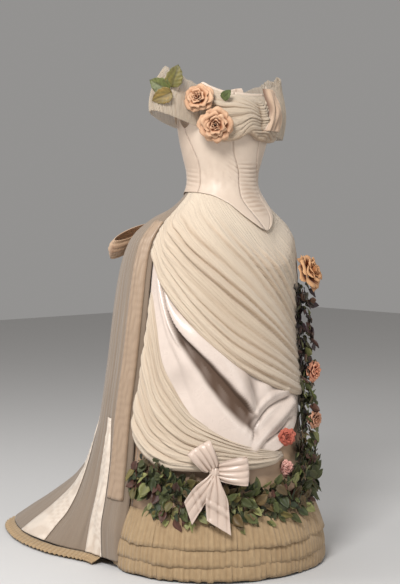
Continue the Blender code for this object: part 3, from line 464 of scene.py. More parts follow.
class Bench:
    """A material's nodes, added one by one."""

    def __init__(self, name: str) -> None:
        """Makes the material with its Principled shader."""
        self.material = bpy.data.materials.new(name)
        self.material.use_nodes = True
        self.tree = self.material.node_tree
        self.shader = self.tree.nodes["Principled BSDF"]

    def put(self, socket: bpy.types.NodeSocket, value: object) -> None:
        """Links an output to a socket, or sets the socket's value."""
        if isinstance(value, Output):
            self.tree.links.new(value.socket, socket)
        else:
            socket.default_value = value

    def shade(self, name: str, value: object) -> None:
        """Links or sets one of the shader's inputs."""
        self.put(self.shader.inputs[name], value)

    def node(self, kind: str, settings: dict, inputs: dict, output: int | str = 0) -> Output:
        """Adds a node.

        Args:
            kind: the node's type.
            settings: its settings, and "stops" for a ramp's (place, colour) pairs.
            inputs: values or outputs by socket name or number.
            output: which of its outputs is returned.

        Returns:
            That output.
        """
        node = self.tree.nodes.new(kind)
        for name, value in settings.items():
            if name == "stops":
                ramp = node.color_ramp
                while len(ramp.elements) < len(value):
                    ramp.elements.new(1.0)
                for element, (place, colour) in zip(ramp.elements, value):
                    element.position = place
                    element.color = (*colour, 1)
            else:
                setattr(node, name, value)
        for name, value in inputs.items():
            self.put(node.inputs[name], value)
        return Output(self, node.outputs[output])

    def blend(self, share: object, first: object, second: object, kind: str = "MIX") -> Output:
        """Two colours mixed by a share."""
        settings = {"data_type": "RGBA", "blend_type": kind}
        pairs = {"Factor": share, 6: self.colour(first), 7: self.colour(second)}
        return self.node("ShaderNodeMix", settings, pairs, 2)

    @staticmethod
    def colour(value: object) -> object:
        """A colour with its alpha, or the output that gives one."""
        return value if isinstance(value, Output) else (*value, 1)

    def noise(self, at: Output, scale: float, detail: float = 3.0, rough: float = 0.55) -> Output:
        """Noise from 0 to 1 at a place."""
        inputs = {"Vector": at, "Scale": scale, "Detail": detail, "Roughness": rough}
        return self.node("ShaderNodeTexNoise", {}, inputs)

    def placed(self, source: str, scale: tuple[float, float, float]) -> Output:
        """Object or UV coordinates, stretched."""
        at = self.node("ShaderNodeTexCoord", {}, {}, source)
        return self.node("ShaderNodeMapping", {}, {"Vector": at, "Scale": scale})

    def attribute(self, name: str, output: str) -> Output:
        """The piece's own attribute."""
        return self.node("ShaderNodeAttribute", {"attribute_name": name}, {}, output)

    def bump(self, height: Output, strength: float, distance: float) -> None:
        """Lets a height shape the shader's normal."""
        inputs = {"Height": height, "Strength": strength, "Distance": distance}
        self.shade("Normal", self.node("ShaderNodeBump", {}, inputs))


@dataclass(frozen=True)
class Satin:
    """Silk satin: a soft gleam, a fine twill, faint crumples, and painted shade that darkens its folds towards a
    deep colour.
    """

    colour: tuple[float, float, float]
    # The darker colour that painted shade, and a little random tone, move the colour towards.
    deep: tuple[float, float, float]
    roughness: float = 0.34
    crumple: float = 0.5

    def material(self, name: str) -> bpy.types.Material:
        """The satin's material, made once."""
        if name in bpy.data.materials:
            return bpy.data.materials[name]
        bench = Bench(name)
        place = bench.placed("Object", (1, 1, 1))
        cloud = bench.noise(place, 9.0, 4.0)
        grain = bench.noise(bench.placed("UV", (60, 900, 1)), 1.0, 2.0)
        worn = bench.noise(place, 55.0, 3.0)
        fold = bench.attribute("fold", "Fac")
        pale = tuple(min(1.0, part * 1.06) for part in self.colour)
        body = bench.blend(cloud, tuple(part * 0.93 for part in self.colour), pale)
        body = bench.blend(worn * 0.16, body, self.deep)
        # Painted shade: the colour darkens towards the deep colour where the mask of painted shade and tone is
        # high.
        bench.shade("Base Color", bench.blend(fold, body, self.deep))
        bench.shade("Roughness", cloud * 0.12 + worn * 0.08 + fold * 0.42 + (self.roughness - 0.1))
        bench.shade("Sheen Weight", 0.12)
        bench.shade("Sheen Roughness", 0.4)
        bench.shade("Specular IOR Level", 0.6)
        crumples = bench.noise(place, 26.0, 3.0, 0.5)
        height = crumples * (0.8 * self.crumple) + grain * 0.03 + worn * 0.10
        bench.bump(height, 0.45, 0.005)
        return bench.material


@dataclass(frozen=True)
class Tulle:
    """Silk net: matt and soft, with fine creases that run along the folds, painted sheen and shade along those
    creases, and painted shade in the folds.
    """

    colour: tuple[float, float, float]
    # The darker colour that painted shade, and a little random tone, move the colour towards.
    deep: tuple[float, float, float]
    streaks: float = 140.0
    alpha: float = 1.0
    contrast: float = 0.16
    relief: float = 0.8

    def material(self, name: str) -> bpy.types.Material:
        """The net's material, made once."""
        if name in bpy.data.materials:
            return bpy.data.materials[name]
        bench = Bench(name)
        place = bench.placed("Object", (1, 1, 1))
        cloud = bench.noise(place, 7.0, 4.0)
        thread = bench.noise(bench.placed("UV", (2.2, self.streaks, 1)), 1.0, 4.0, 0.6)
        wisp = bench.noise(bench.placed("UV", (5.0, self.streaks * 0.33, 1)), 1.0, 3.0, 0.55)
        net = bench.noise(place, 900.0, 1.0)
        fold = bench.attribute("fold", "Fac")
        # Painted sheen and shade: the colour streaks lighter and darker along the fine creases.
        pale = tuple(min(1.0, part * 1.07) for part in self.colour)
        lines = ((thread - 0.42) * 1.6) + ((wisp - 0.45) * 1.2)
        clamp = bench.node("ShaderNodeClamp", {}, {"Value": lines + 0.3})
        body = bench.blend(clamp, tuple(part * (1 - self.contrast) for part in self.colour), pale)
        body = bench.blend(cloud * 0.20, body, self.deep)
        # Painted shade: the colour darkens towards the deep colour where the mask of painted shade and tone is
        # high.
        bench.shade("Base Color", bench.blend(fold, body, self.deep))
        bench.shade("Roughness", 0.72 + thread * 0.2)
        bench.shade("Sheen Weight", 0.2)
        bench.shade("Sheen Roughness", 0.5)
        bench.shade("Specular IOR Level", 0.25)
        if self.alpha < 1:
            bench.shade("Alpha", thread * 0.35 + (self.alpha - 0.17))
        bench.bump(thread * 0.5 + wisp * 0.9 + net * 0.05, self.relief, 0.006)
        return bench.material


@dataclass(frozen=True)
class Petal:
    """Dyed muslin petals or leaves, whose own tint attribute gives the colour, with painted shade and painted
    highlight in it.
    """

    shade: tuple[float, float, float]
    roughness: float = 0.7
    gloss: float = 0.3

    def material(self, name: str) -> bpy.types.Material:
        """The petal's material, made once."""
        if name in bpy.data.materials:
            return bpy.data.materials[name]
        bench = Bench(name)
        place = bench.placed("Object", (1, 1, 1))
        mottle = bench.noise(place, 90.0, 4.0, 0.65)
        weave = bench.noise(place, 700.0, 2.0)
        vein = bench.noise(bench.placed("UV", (22, 3, 1)), 1.0, 3.0)
        tint = bench.attribute("tint", "Color")
        body = bench.blend((mottle - 0.35) * 0.7, tint, self.shade)
        bench.shade("Base Color", body)
        bench.shade("Roughness", mottle * 0.2 + (self.roughness - 0.1))
        bench.shade("Sheen Weight", 0.06)
        bench.shade("Specular IOR Level", self.gloss)
        bench.bump(vein * 0.6 + mottle * 0.5 + weave * 0.08, 0.4, 0.0015)
        return bench.material


FINISHES: dict[str, Satin | Tulle | Petal] = {
    "satin_ivory": Satin((0.75, 0.63, 0.55), (0.090, 0.047, 0.025), 0.28, 0.6),
    "satin_bodice": Satin((0.66, 0.54, 0.435), (0.28, 0.16, 0.095), 0.48, 0.6),
    "satin_cream": Satin((0.82, 0.71, 0.60), (0.38, 0.25, 0.16), 0.33),
    "satin_bow": Satin((0.66, 0.52, 0.43), (0.17, 0.09, 0.05), 0.29, 0.7),
    "satin_tan": Satin((0.40, 0.285, 0.195), (0.21, 0.13, 0.08), 0.40),
    "satin_peach": Satin((0.60, 0.42, 0.28), (0.26, 0.13, 0.07), 0.36),
    "satin_pleats": Satin((0.66, 0.47, 0.33), (0.12, 0.055, 0.028), 0.26),
    "underskirt_satin": Satin((0.47, 0.32, 0.21), (0.22, 0.12, 0.06), 0.50),
    "tulle_cream": Tulle((0.70, 0.59, 0.465), (0.36, 0.225, 0.125), 110, contrast=0.13),
    "tulle_puff": Tulle((0.62, 0.505, 0.38), (0.33, 0.20, 0.11), 110, contrast=0.16),
    # The train's net is a darkened copy of the cream net: painted shade, and the darkness seen through the sheer
    # net.
    "tulle_train": Tulle((0.28, 0.215, 0.16), (0.15, 0.10, 0.068), 120, contrast=0.14),
    "tulle_sheer": Tulle((0.72, 0.61, 0.48), (0.38, 0.26, 0.15), 60, 0.46),
    "tulle_gold": Tulle((0.48, 0.34, 0.195), (0.25, 0.15, 0.07), 13, contrast=0.30, relief=0.30),
    "rose_petal": Petal((0.34, 0.12, 0.04)),
    "bud_petal": Petal((0.38, 0.08, 0.05)),
    "leaf_cloth": Petal((0.030, 0.026, 0.008), 0.5, 0.45),
    "leaf_autumn": Petal((0.085, 0.045, 0.012), 0.5, 0.45),
    "leaf_dark": Petal((0.03, 0.015, 0.018), 0.5, 0.45),
}


# Skirt.


@dataclass
class Underskirt:
    """The satin skirt under the drapes, in four gores with soft upright swells."""

    gores: tuple[tuple[str, float, float], ...] = (
        ("underskirt_front", -44, 36),
        ("underskirt_side_left", 36, 106),
        ("underskirt_back", 106, 256),
        ("underskirt_side_right", -104, -44),
    )
    low: float = 0.030
    high: float = SKIRT_TOP
    rows: int = 44

    def build(self) -> list[bpy.types.Object]:
        """Builds the four gores."""
        pieces = []
        for name, start, end in self.gores:
            columns = int((end - start) / 2.2)
            heights = np.linspace(self.low, self.high, self.rows)[:, None]
            angles = np.linspace(start + 0.03, end - 0.03, columns)[None, :]
            swell = 0.0020 * ripple(angles / 40, heights * 0.6, 3) * ease((0.45 - heights) / 0.2)
            points = skirt_point(angles, heights, -0.0018 + swell)
            # The colour darkens towards the bottom, below 0.30 m.
            fold = 0.25 * ease((0.30 - heights) / 0.1) * np.ones_like(angles)
            cloth = Cloth("dressed_" + name, points, SATIN_WALL, "underskirt_satin", fold=fold)
            pieces.append(dress(cloth.make(), name))
        return pieces


@dataclass
class Flounces:
    """Three tiers of finely pleated net round the hem."""

    tiers: tuple[tuple[float, float, float], ...] = (
        (0.172, 0.084, 0.023),
        (0.126, 0.038, 0.0185),
        (0.078, 0.003, 0.014),
    )
    pleats: int = 118
    steps: int = 6
    rows: int = 8

    def build(self) -> list[bpy.types.Object]:
        """Builds the tiers, each over the next."""
        pieces = []
        for number, (top, bottom, flare) in enumerate(self.tiers, 1):
            draw = np.random.default_rng(40 + number)
            count = self.pleats * self.steps
            phase = (np.arange(count) % self.steps) / self.steps
            which = np.arange(count) // self.steps
            jitter = draw.uniform(-0.5, 0.5, self.pleats)[which]
            angles = (np.arange(count) + jitter) / count * 360 - 180
            height = draw.uniform(0.55, 1.0, self.pleats)[which]
            profile = knife_pleat(phase) * height
            drop = np.linspace(0, 1, self.rows)[:, None]
            sway = draw.uniform(-1, 1, self.pleats)[which] * 0.35
            turn = angles[None, :] + sway[None, :] * drop[::-1]
            ragged = draw.uniform(0.0, 0.0042, self.pleats)[which] + 0.0012 * profile
            level = bottom + (top - bottom) * drop + ragged * (1 - drop)
            swell = flare * (1 - drop) ** 1.15
            curve = (0.004 if number == 1 else 0.0095) * np.sin(math.pi * drop)
            wide = 0.0055 * ripple(turn / 45, drop * 0.3, 50 + number) * (1 - drop)
            pleat = (profile - 0.5) * 0.0034 * (1 - drop * 0.8)
            out = 0.0006 + swell + curve + wide + pleat + 0.003 * drop
            points = skirt_point(turn, level, np.maximum(out, 0.0006))
            # Painted shade in the pleats' grooves, stronger towards the hem, and at the top under the tier above;
            # random tone; painted light makes each hem a little lighter.
            fold = np.broadcast_to(ease(1 - profile * 1.6) * 0.42, points.shape[:2]) * mix(0.5, 1.0, 1 - drop)
            fold = np.maximum(fold * 0.58, 0.15 * ease((drop - 0.7) / 0.3))
            fold = fold + 0.20 * (1 + ripple(turn / 16, drop * 0.4, 60 + number)) - 0.10 * (1 - drop) ** 4
            fold = np.clip(fold, 0, 1)
            name = f"flounce_{number}"
            strands = (drop * np.ones(count), angles[None, :] / 12)
            cloth = Cloth("dressed_" + name, points, TULLE_WALL, "tulle_gold", True, fold, strands)
            pieces.append(dress(cloth.make(), name))
        return pieces


@dataclass(frozen=True)
class Crease:
    """A long fold along a line of heights over a range of angles."""

    line: Line
    start: float
    end: float
    reach: float
    depth: float
    fade: float = 8.0

    def rise(self, angle: Grid, height: Grid) -> Grid:
        """The crease's height, deepest on its line and gone at its ends."""
        window = ease((angle - self.start) / self.fade) * ease((self.end - angle) / self.fade)
        return self.depth * hill(height - self.line(angle), self.reach) * window


TULLE_HEM = Line(
    (
        (-104, 0.850),
        (-96, 0.822),
        (-87, 0.769),
        (-75, 0.723),
        (-59, 0.666),
        (-41, 0.605),
        (-24, 0.551),
        (-2, 0.501),
        (30, 0.458),
        (67, 0.441),
        (98, 0.450),
    )
)
# How far above the hem the tulle drape's folds have fanned out by their last one.
TULLE_SPAN = Line(
    (
        (-104, 0.205),
        (-90, 0.270),
        (-70, 0.330),
        (-49, 0.342),
        (-25, 0.330),
        (0, 0.290),
        (25, 0.232),
        (50, 0.180),
        (98, 0.150),
    )
)
SATIN_HEM = Line(
    (
        (-104, 0.640),
        (-90, 0.540),
        (-70, 0.445),
        (-50, 0.375),
        (-30, 0.338),
        (-10, 0.325),
        (0, 0.328),
        (10, 0.346),
        (22, 0.384),
        (39, 0.436),
        (60, 0.452),
        (78, 0.470),
    )
)
SATIN_TROUGH = Line(
    (
        (-104, 0.930),
        (-96, 0.865),
        (-90, 0.795),
        (-84, 0.748),
        (-75, 0.686),
        (-64, 0.631),
        (-50, 0.571),
        (-36, 0.507),
        (-21, 0.441),
        (-10, 0.400),
        (78, 0.400),
    )
)
# Half the width of the hollow along that line.
TROUGH_HALF = Line(
    (
        (-104, 0.0040),
        (-94, 0.0055),
        (-84, 0.0080),
        (-75, 0.0130),
        (-62, 0.0230),
        (-49, 0.0345),
        (-34, 0.0430),
        (-21, 0.0385),
        (-8, 0.0230),
    )
)
SWAG_TOP = Line(
    (
        (-103, 0.770),
        (-98, 0.740),
        (-92, 0.675),
        (-82, 0.570),
        (-70, 0.506),
        (-56, 0.436),
        (-40, 0.390),
        (-21, 0.353),
        (2, 0.326),
        (6, 0.324),
    )
)
SWAG_HEM = Line(
    (
        (-103, 0.385),
        (-98, 0.352),
        (-91, 0.328),
        (-79, 0.301),
        (-65, 0.289),
        (-40, 0.289),
        (-21, 0.290),
        (6, 0.305),
    )
)


@dataclass
class SatinApron:
    """The satin between the two net drapes, with its long deep fold and gathered corner."""

    rows: int = 165
    columns: int = 180

    def hollow(self, angle: Grid, height: Grid) -> tuple[Grid, Grid]:
        """The long hollow: every point's place across it in half widths, and how far it is open."""
        step = (height - SATIN_TROUGH(angle)) / TROUGH_HALF(angle)
        return step, ease((angle + 103) / 7) * ease((-9 - angle) / 9)

    def rise(self, angle: Grid, height: Grid) -> Grid:
        """The satin's folds over its plain form."""
        step, shown = self.hollow(angle, height)
        size = shown * mix(0.40, 1.0, ease((angle + 92) / 26))
        lobe = 0.0170 * ease((step - 0.70) / 0.50) * ease((3.6 - step) / 2.3)
        floor = -0.0080 * ease((1.10 - np.abs(step)) / 0.6)
        lower = 0.0090 * ease((-step - 0.75) / 0.8) * ease((step + 4.5) / 2.8)
        folds = (lobe + floor + lower) * size
        below = height - SATIN_TROUGH(angle)
        rim = 0.0110 * hill(below + 0.021, 0.015) * ease((angle + 98) / 5) * ease((-63 - angle) / 3.5)
        second = 0.0040 * hill(below + 0.056, 0.022) * ease((angle + 96) / 8) * ease((-56 - angle) / 14)
        crease_line = Line(((-19, 0.350), (-10, 0.412), (1, 0.446), (18, 0.462)))
        gather = Crease(crease_line, -20, 22, 0.010, -0.0085, 6).rise(angle, height)
        puff_line = Line(((-16, 0.345), (-4, 0.385), (8, 0.418), (20, 0.446)))
        gather = gather + Crease(puff_line, -20, 30, 0.026, 0.0105, 9).rise(angle, height)
        ridge_line = Line(((-24, 0.374), (-14, 0.428), (0, 0.472), (16, 0.486)))
        gather = gather + Crease(ridge_line, -24, 24, 0.017, 0.0070, 9).rise(angle, height)
        slit_line = Line(((-8, 0.352), (4, 0.372), (16, 0.404)))
        gather = gather + Crease(slit_line, -9, 24, 0.008, -0.0060, 6).rise(angle, height)
        pulls = 0.0042 * np.sin(np.radians(angle * 19 + 300 * height)) * ease((angle + 20) / 12)
        pulls = pulls * ease((26 - angle) / 12) * hill(height - 0.500, 0.060)
        soft = 0.0016 * ripple(angle / 40, height * 4.4, 17) * ease((0.66 - height) / 0.1)
        return folds + rim + second + gather + pulls + soft

    def stand_off(self, angle: Grid, height: Grid) -> Grid:
        """How far the satin stands off the skirt's own form."""
        low_left = ease((0.60 - height) / 0.15) * ease((angle + 20) / 20)
        full = 0.0095 + 0.0025 * np.sin(np.radians(7 * angle)) * low_left
        out = mix(0.0006, full, basque_swell(angle, height, 0.08)) * mix(0.35, 1.0, ease((angle - DRAPE_EDGE) / 4))
        return np.maximum(out + self.rise(angle, height), 0.0005)

    def build(self) -> bpy.types.Object:
        """Builds the apron."""
        angle = np.linspace(DRAPE_EDGE, 76, self.columns)[None, :]
        share = np.linspace(0, 1, self.rows)[:, None] ** 1.25
        height = mix(SATIN_HEM(angle), SKIRT_TOP, share)
        rise = self.rise(angle, height)
        step, shown = self.hollow(angle, height)
        overhang = 0.011 * hill(step - 1.05, 0.75) * shown * ease((angle + 88) / 20)
        points = skirt_point(angle, height - overhang, self.stand_off(angle, height))
        edge = 1.24 + 0.12 * ripple(angle / 20, height * 9, 21, 4)
        soft_side = np.where(step < 0, 0.60, 0.30)
        shadow = ease((edge - np.abs(step + 0.05)) / soft_side) * shown
        shadow = shadow * mix(0.92, 1.0, ease((angle + 70) / 30))
        streak = 0.95 + 0.05 * np.sin(np.radians(angle * 31 + 500 * height))
        shadow = shadow * np.where(step < 0, streak, 1.0)
        # Painted shadow: three soft darker patches on the satin.
        shadow_patches = 0.34 * hill(angle + 17, 9) * hill(height - 0.505, 0.075)
        shadow_patches = shadow_patches + 0.26 * hill(angle - 4, 15) * hill(height - 0.385, 0.045)
        shadow_patches = shadow_patches + 0.22 * hill(angle + 66, 18) * hill(height - 0.530, 0.050)
        # Painted shade in the hollows of the folds, the painted shadow patches, and the painted shadow in the long
        # fold.
        fold = np.clip(np.maximum(hollows(rise, 10, 0.005) * 0.6 + shadow_patches, shadow), 0, 1)
        cloth = Cloth("dressed_satin_apron", points, SATIN_WALL, "satin_ivory", fold=fold)
        return dress(cloth.make(), "satin_apron")


@dataclass
class TulleApron:
    """The upper net drape, drawn up at the right hip and fanning to the left knee."""

    folds: Folds = Folds(9.5, 0.0175, 5, 0.30, 0.45)
    fine: Folds = Folds(27, 0.0045, 9, 0.40, 0.8)
    rows: int = 165
    columns: int = 180

    def build(self) -> bpy.types.Object:
        """Builds the drape with its hem rolled under."""
        angle = np.linspace(DRAPE_EDGE, 96, self.columns)[None, :]
        hem = TULLE_HEM(angle)
        height = mix(hem, SKIRT_TOP, np.linspace(0, 1, self.rows)[:, None])
        across = (height - hem) / TULLE_SPAN(angle) + 0.03 * (angle + 40) / 100
        along = (angle - DRAPE_EDGE) / 200
        swell = basque_swell(angle, height, 0.085)
        share = (height - hem) / (SKIRT_TOP - hem)
        calm = swell * mix(1.0, 0.55, share) * mix(0.30, 1.0, ease((angle - DRAPE_EDGE) / 9))
        calm = calm * mix(1.0, 0.40, ease((angle - 8) / 34))
        folds = (self.folds.rise(along, across) + self.fine.rise(along, across)) * calm
        edge = mix(0.45, 1.0, ease((angle - DRAPE_EDGE) / 4))
        out = mix(0.0030, (0.0185 + 0.0020 * ripple(along, across, 8)) * edge, swell) + folds
        roll = 1 - ease((height - hem) / 0.014)
        under = SatinApron().stand_off(angle, height)
        out = np.maximum(out, (under + 0.0032) * swell) - 0.010 * roll**2 * swell
        points = skirt_point(angle, height + 0.004 * roll, np.maximum(out, (under + 0.0014) * swell))
        # Painted shade at the foot of each fold, random broad tone, and painted shade on the rolled hem.
        shade = self.folds.valley(along, across) * 0.66 + self.fine.valley(along, across) * 0.20
        broad = 0.14 * (1 + ripple(along * 1.5, across * 1.6, 12))
        fold = np.clip((shade + broad) * calm + 0.20 * roll, 0, 0.85)
        strands = (along, across)
        cloth = Cloth("dressed_tulle_apron", points, TULLE_WALL, "tulle_cream", fold=fold, strands=strands)
        return dress(cloth.make(), "tulle_apron")


@dataclass
class TulleSwag:
    """The lower net drape, puffed and turned under, its hollow folds running to one tail."""

    folds: Folds = Folds(8.0, 0.0170, 23, 0.32, 0.40)
    fine: Folds = Folds(23, 0.0040, 29, 0.42, 0.8)
    rows: int = 120
    columns: int = 140

    def build(self) -> bpy.types.Object:
        """Builds the swag from its turned edge up."""
        angle = np.linspace(-103, 6, self.columns)[None, :]
        hem = SWAG_HEM(angle)
        top = SWAG_TOP(angle)
        share = np.linspace(0, 1, self.rows)[:, None]
        start = hem + np.minimum(0.010, (top - hem) / 3)
        along = (angle + 103) / 109
        puff = mix(0.036, 0.0165, ease(share / 0.97))
        folds = (self.folds.rise(along, share) + self.fine.rise(along, share)) * ease((1 - share) / 0.08)
        calm = ease(share / 0.10) * mix(1.0, 0.50, along) * mix(0.30, 1.0, ease((angle + 103) / 9))
        folds = folds * calm
        edge = mix(0.40, 1.0, ease((angle + 103) / 4)) * mix(0.25, 1.0, ease((6 - angle) / 12))
        folds = folds * mix(0.4, 1.0, ease((6 - angle) / 16))
        body = skirt_point(angle, mix(start, top, share), (puff - 0.006) * edge + folds)
        depth = np.minimum(0.014, (top - hem) / 2)
        turned = skirt_point(angle, hem + depth * 0.6, 0.0023)
        lowest = skirt_point(angle, hem, 0.016 * edge)
        side = skirt_point(angle, hem + 0.001, 0.026 * edge)
        points = np.concatenate([turned, lowest, side, body])
        # Painted shade at the foot of each fold, random broad tone, and painted shade on the turned-under edge.
        shade = self.folds.valley(along, share) * 0.60 + self.fine.valley(along, share) * 0.18
        shade = shade + 0.16 * (1 + ripple(along * 1.5, share * 1.5, 14))
        fold = np.concatenate([np.full((3, self.columns), 0.35), np.clip(shade * calm, 0, 0.85)])
        across = np.concatenate([np.full((3, 1), -0.02), share]) + 0 * angle
        strands = (along + 0 * across, across)
        cloth = Cloth("dressed_tulle_swag", points, TULLE_WALL, "tulle_cream", fold=fold, strands=strands)
        return dress(cloth.make(), "tulle_swag")


TRAIN_RINGS: Stops = (
    (0.022, 103.0, 0.0190, 0.052, 0.195, 0.360, 0.478, 0.515),
    (0.060, 103.0, 0.0275, 0.056, 0.172, 0.315, 0.418, 0.448),
    (0.110, 103.0, 0.0335, 0.060, 0.140, 0.255, 0.336, 0.362),
    (0.180, 103.0, 0.0300, 0.056, 0.115, 0.188, 0.240, 0.258),
    (0.280, 104.5, 0.0290, 0.052, 0.095, 0.138, 0.166, 0.178),
    (0.400, 106.0, 0.0270, 0.049, 0.080, 0.104, 0.120, 0.128),
    (0.540, 105.5, 0.0260, 0.047, 0.074, 0.091, 0.102, 0.108),
    (0.690, 104.8, 0.0250, 0.044, 0.068, 0.083, 0.092, 0.096),
    (0.820, 104.8, 0.0220, 0.040, 0.062, 0.076, 0.085, 0.089),
    (0.905, 104.8, 0.0170, 0.032, 0.050, 0.061, 0.067, 0.069),
    (0.942, 104.8, 0.0120, 0.021, 0.032, 0.039, 0.042, 0.044),
    (0.973, 104.8, 0.0042, 0.0052, 0.0074, 0.0086, 0.0092, 0.0098),
    (0.987, 104.8, 0.0024, 0.0024, 0.0024, 0.0024, 0.0024, 0.0024),
    (1.000, 104.8, 0.0024, 0.0024, 0.0024, 0.0024, 0.0024, 0.0024),
    (1.030, 104.8, 0.0024, 0.0024, 0.0024, 0.0024, 0.0024, 0.0024),
)
TRAIN_ANGLES = (122, 140, 155, 168, 180)


@dataclass
class Train:
    """The net train in three breadths, with satin bands laid on it and a frill under its hem."""

    columns: int = 24
    fineness: int = 8
    rows: int = 112
    gathers: Folds = Folds(30, 0.0050, 31, 0.5, 0.35)
    frill_pleats: int = 84
    frill_steps: int = 6
    frill_start: float = 2.4
    grid: Grid = field(init=False)
    fold: Grid = field(init=False)
    heights: Grid = field(init=False)

    def __post_init__(self) -> None:
        """Works out the train's own points once, for all its pieces."""
        lines = [Line(tuple((ring[0], ring[column]) for ring in TRAIN_RINGS)) for column in range(1, 8)]
        share = np.linspace(0, 1, self.rows)
        heights = mix(0.022, SKIRT_TOP, share**1.15)
        count = self.columns * self.fineness
        place = np.linspace(0, 1, count + 1)
        rows = []
        for height in heights:
            start = float(lines[0](height))
            angle = mix(start, 360 - start, place)
            keys = (start, *TRAIN_ANGLES)
            off = Line(tuple(zip(keys, (float(line(height)) for line in lines[1:]))))
            rolled = mix(0.25, 1.0, ease(np.minimum(place, 1 - place) * self.columns / 0.4))
            rows.append(skirt_point(angle, height, off(180 - np.abs(180 - angle)) * rolled))
        plain = np.array(rows)
        column = np.linspace(0, self.columns, count + 1)[None, :]
        level = heights[:, None]
        inner = ease(np.minimum(column, self.columns - column) / 4)
        flute = 0.011 * ease((0.97 - level) / 0.30) * mix(0.45, 1.0, ease(level / 0.20)) * inner
        flute = flute * (1 - np.cos(2 * math.pi * 6 * column / self.columns)) / 2
        spread = mix(0.55, 1.0, ease((level - 0.1) / 0.4)) * ease((0.985 - level) / 0.04)
        edge = ease(np.minimum(column, self.columns - column) / 0.8)
        gathers = self.gathers.rise(level * 0.8, column / self.columns) * spread * mix(0.15, 1, edge)
        self.grid = raised(plain, flute + gathers)
        # Painted shade in the hollows of the flutes and gathers.
        self.fold = np.clip(hollows(flute * 0.6 + gathers, 5, 0.0030) * 0.55, 0, 0.6)
        self.heights = heights

    def part(self, first: float, last: float, low: float, high: float) -> tuple[slice, slice]:
        """The rows and columns of the grid between two CAD columns and two heights."""
        rows = np.nonzero((self.heights >= low - 1e-6) & (self.heights <= high + 1e-6))[0]
        near, far = round(first * self.fineness), round(last * self.fineness)
        return slice(rows[0], rows[-1] + 1), slice(near, far + 1)

    def breadths(self) -> list[bpy.types.Object]:
        """Builds the three breadths of net."""
        pieces = []
        for name, first, last in (("train_left", 0, 8), ("train_back", 8, 16), ("train_right", 16, 24)):
            rows, columns = self.part(first, last, 0.0, 2.0)
            points = self.grid[rows, columns].copy()
            points[:, 0] = mix(points[:, 0], points[:, 1], 0.04)
            points[:, -1] = mix(points[:, -1], points[:, -2], 0.04)
            across = np.linspace(first, last, points.shape[1])[None, :] / self.columns
            strands = (self.heights[:, None] + 0 * across, across + 0 * self.heights[:, None])
            fold = self.fold[rows, columns]
            cloth = Cloth("dressed_" + name, points, TULLE_WALL, "tulle_train", fold=fold, strands=strands)
            pieces.append(dress(cloth.make(), name))
        return pieces

    def bands(self) -> list[bpy.types.Object]:
        """Builds the satin bands and streamers on both sides, wrinkled across."""
        pieces = []
        lifted = raised(self.grid, 0.0026)
        table = (
            ("train_edge_band", 0.25, 1.9, 0.180, 0.940, "satin_tan"),
            ("train_streamer_front", 2.1, 3.9, 0.022, 0.400, "satin_cream"),
            ("train_streamer_back", 6.1, 7.9, 0.022, 0.400, "satin_cream"),
        )
        for number, (name, first, last, low, high, finish) in enumerate(table):
            for side in ("left", "right"):
                near, far = (first, last) if side == "left" else (self.columns - last, self.columns - first)
                rows, columns = self.part(near, far, low, high)
                points = lifted[rows, columns]
                up = self.heights[rows][:, None]
                if number:
                    width = mix(0.45, 1.0, ease((high - up) / 0.13) ** 0.7)[..., None]
                    points = mix(points.mean(axis=1, keepdims=True), points, width)
                wide = np.linspace(0, 1, points.shape[1])[None, :]
                slant = 0.03 * wide * (number - 1)
                wave = np.sin(2 * math.pi * ((up + slant) * 34 + 0.7 * np.sin(up * 40 + 3 * wide)))
                amount = (0.0016 if number else 0.0005) * np.sin(math.pi * wide) ** 0.6
                rise = amount * wave + 0.002 * np.sin(math.pi * wide)
                # Painted shade in the troughs of the wrinkles.
                fold = 0.25 * ease(-wave * 2)
                cloth = Cloth(f"dressed_{name}_{side}", raised(points, rise), SATIN_WALL, finish, fold=fold)
                pieces.append(dress(cloth.make(), f"{name}_{side}"))
        return pieces

    def frill(self) -> bpy.types.Object:
        """Builds the pleated frill that peeps out under the hem."""
        steps = self.frill_pleats * self.frill_steps
        start = self.frill_start / self.columns
        share = np.linspace(start, 1 - start, steps + 1)
        hem = self.grid[0]
        place = share * (len(hem) - 1)
        at = np.stack([np.interp(place, np.arange(len(hem)), hem[:, axis]) for axis in range(2)], axis=-1)
        tangent = np.gradient(at, axis=0)
        tangent = tangent / np.linalg.norm(tangent, axis=-1, keepdims=True)
        for _ in range(30):
            tangent[1:-1] = (tangent[:-2] + tangent[1:-1] + tangent[2:]) / 3
        out = np.stack([tangent[:, 1], -tangent[:, 0]], axis=-1)
        phase = (np.arange(steps + 1) % self.frill_steps) / self.frill_steps
        profile = knife_pleat(phase)
        rows = []
        for down in np.linspace(1, 0, 7):
            reach = 0.030 * down
            level = mix(0.0200, 0.004 + 0.0055 * profile, down**0.8)
            flat = at + out * (reach + 0.0012 * down * profile)[:, None]
            rows.append(np.concatenate([flat, (level - WAIST)[:, None] * np.ones((steps + 1, 1))], axis=1))
        points = np.array(rows)
        # Painted shade in the grooves of the pleats.
        fold = np.broadcast_to(ease(1 - profile * 1.5) * 0.5, points.shape[:2])
        cloth = Cloth("dressed_train_frill", points, TULLE_WALL, "tulle_gold", fold=fold)
        return dress(cloth.make(), "train_frill")


# Bodice.


STRIP_CENTRE = Line(
    (
        (0.915, 3),
        (0.950, 4),
        (0.980, 5),
        (1.020, 7),
        (1.060, 8),
        (1.095, 2),
        (1.130, -4),
        (1.170, -6),
        (1.290, -2),
    )
)
STRIP_HALF = Line(
    (
        (0.915, 1.5),
        (0.950, 9),
        (0.980, 15),
        (1.020, 20),
        (1.060, 21),
        (1.095, 20),
        (1.130, 20),
        (1.170, 20),
        (1.290, 20),
    )
)
SIDE_SEAM = Line(((0.990, 79), (1.030, 78), (1.095, 76), (1.140, 82), (1.190, 90), (1.230, 90)))
BACK_SEAM = 125.0


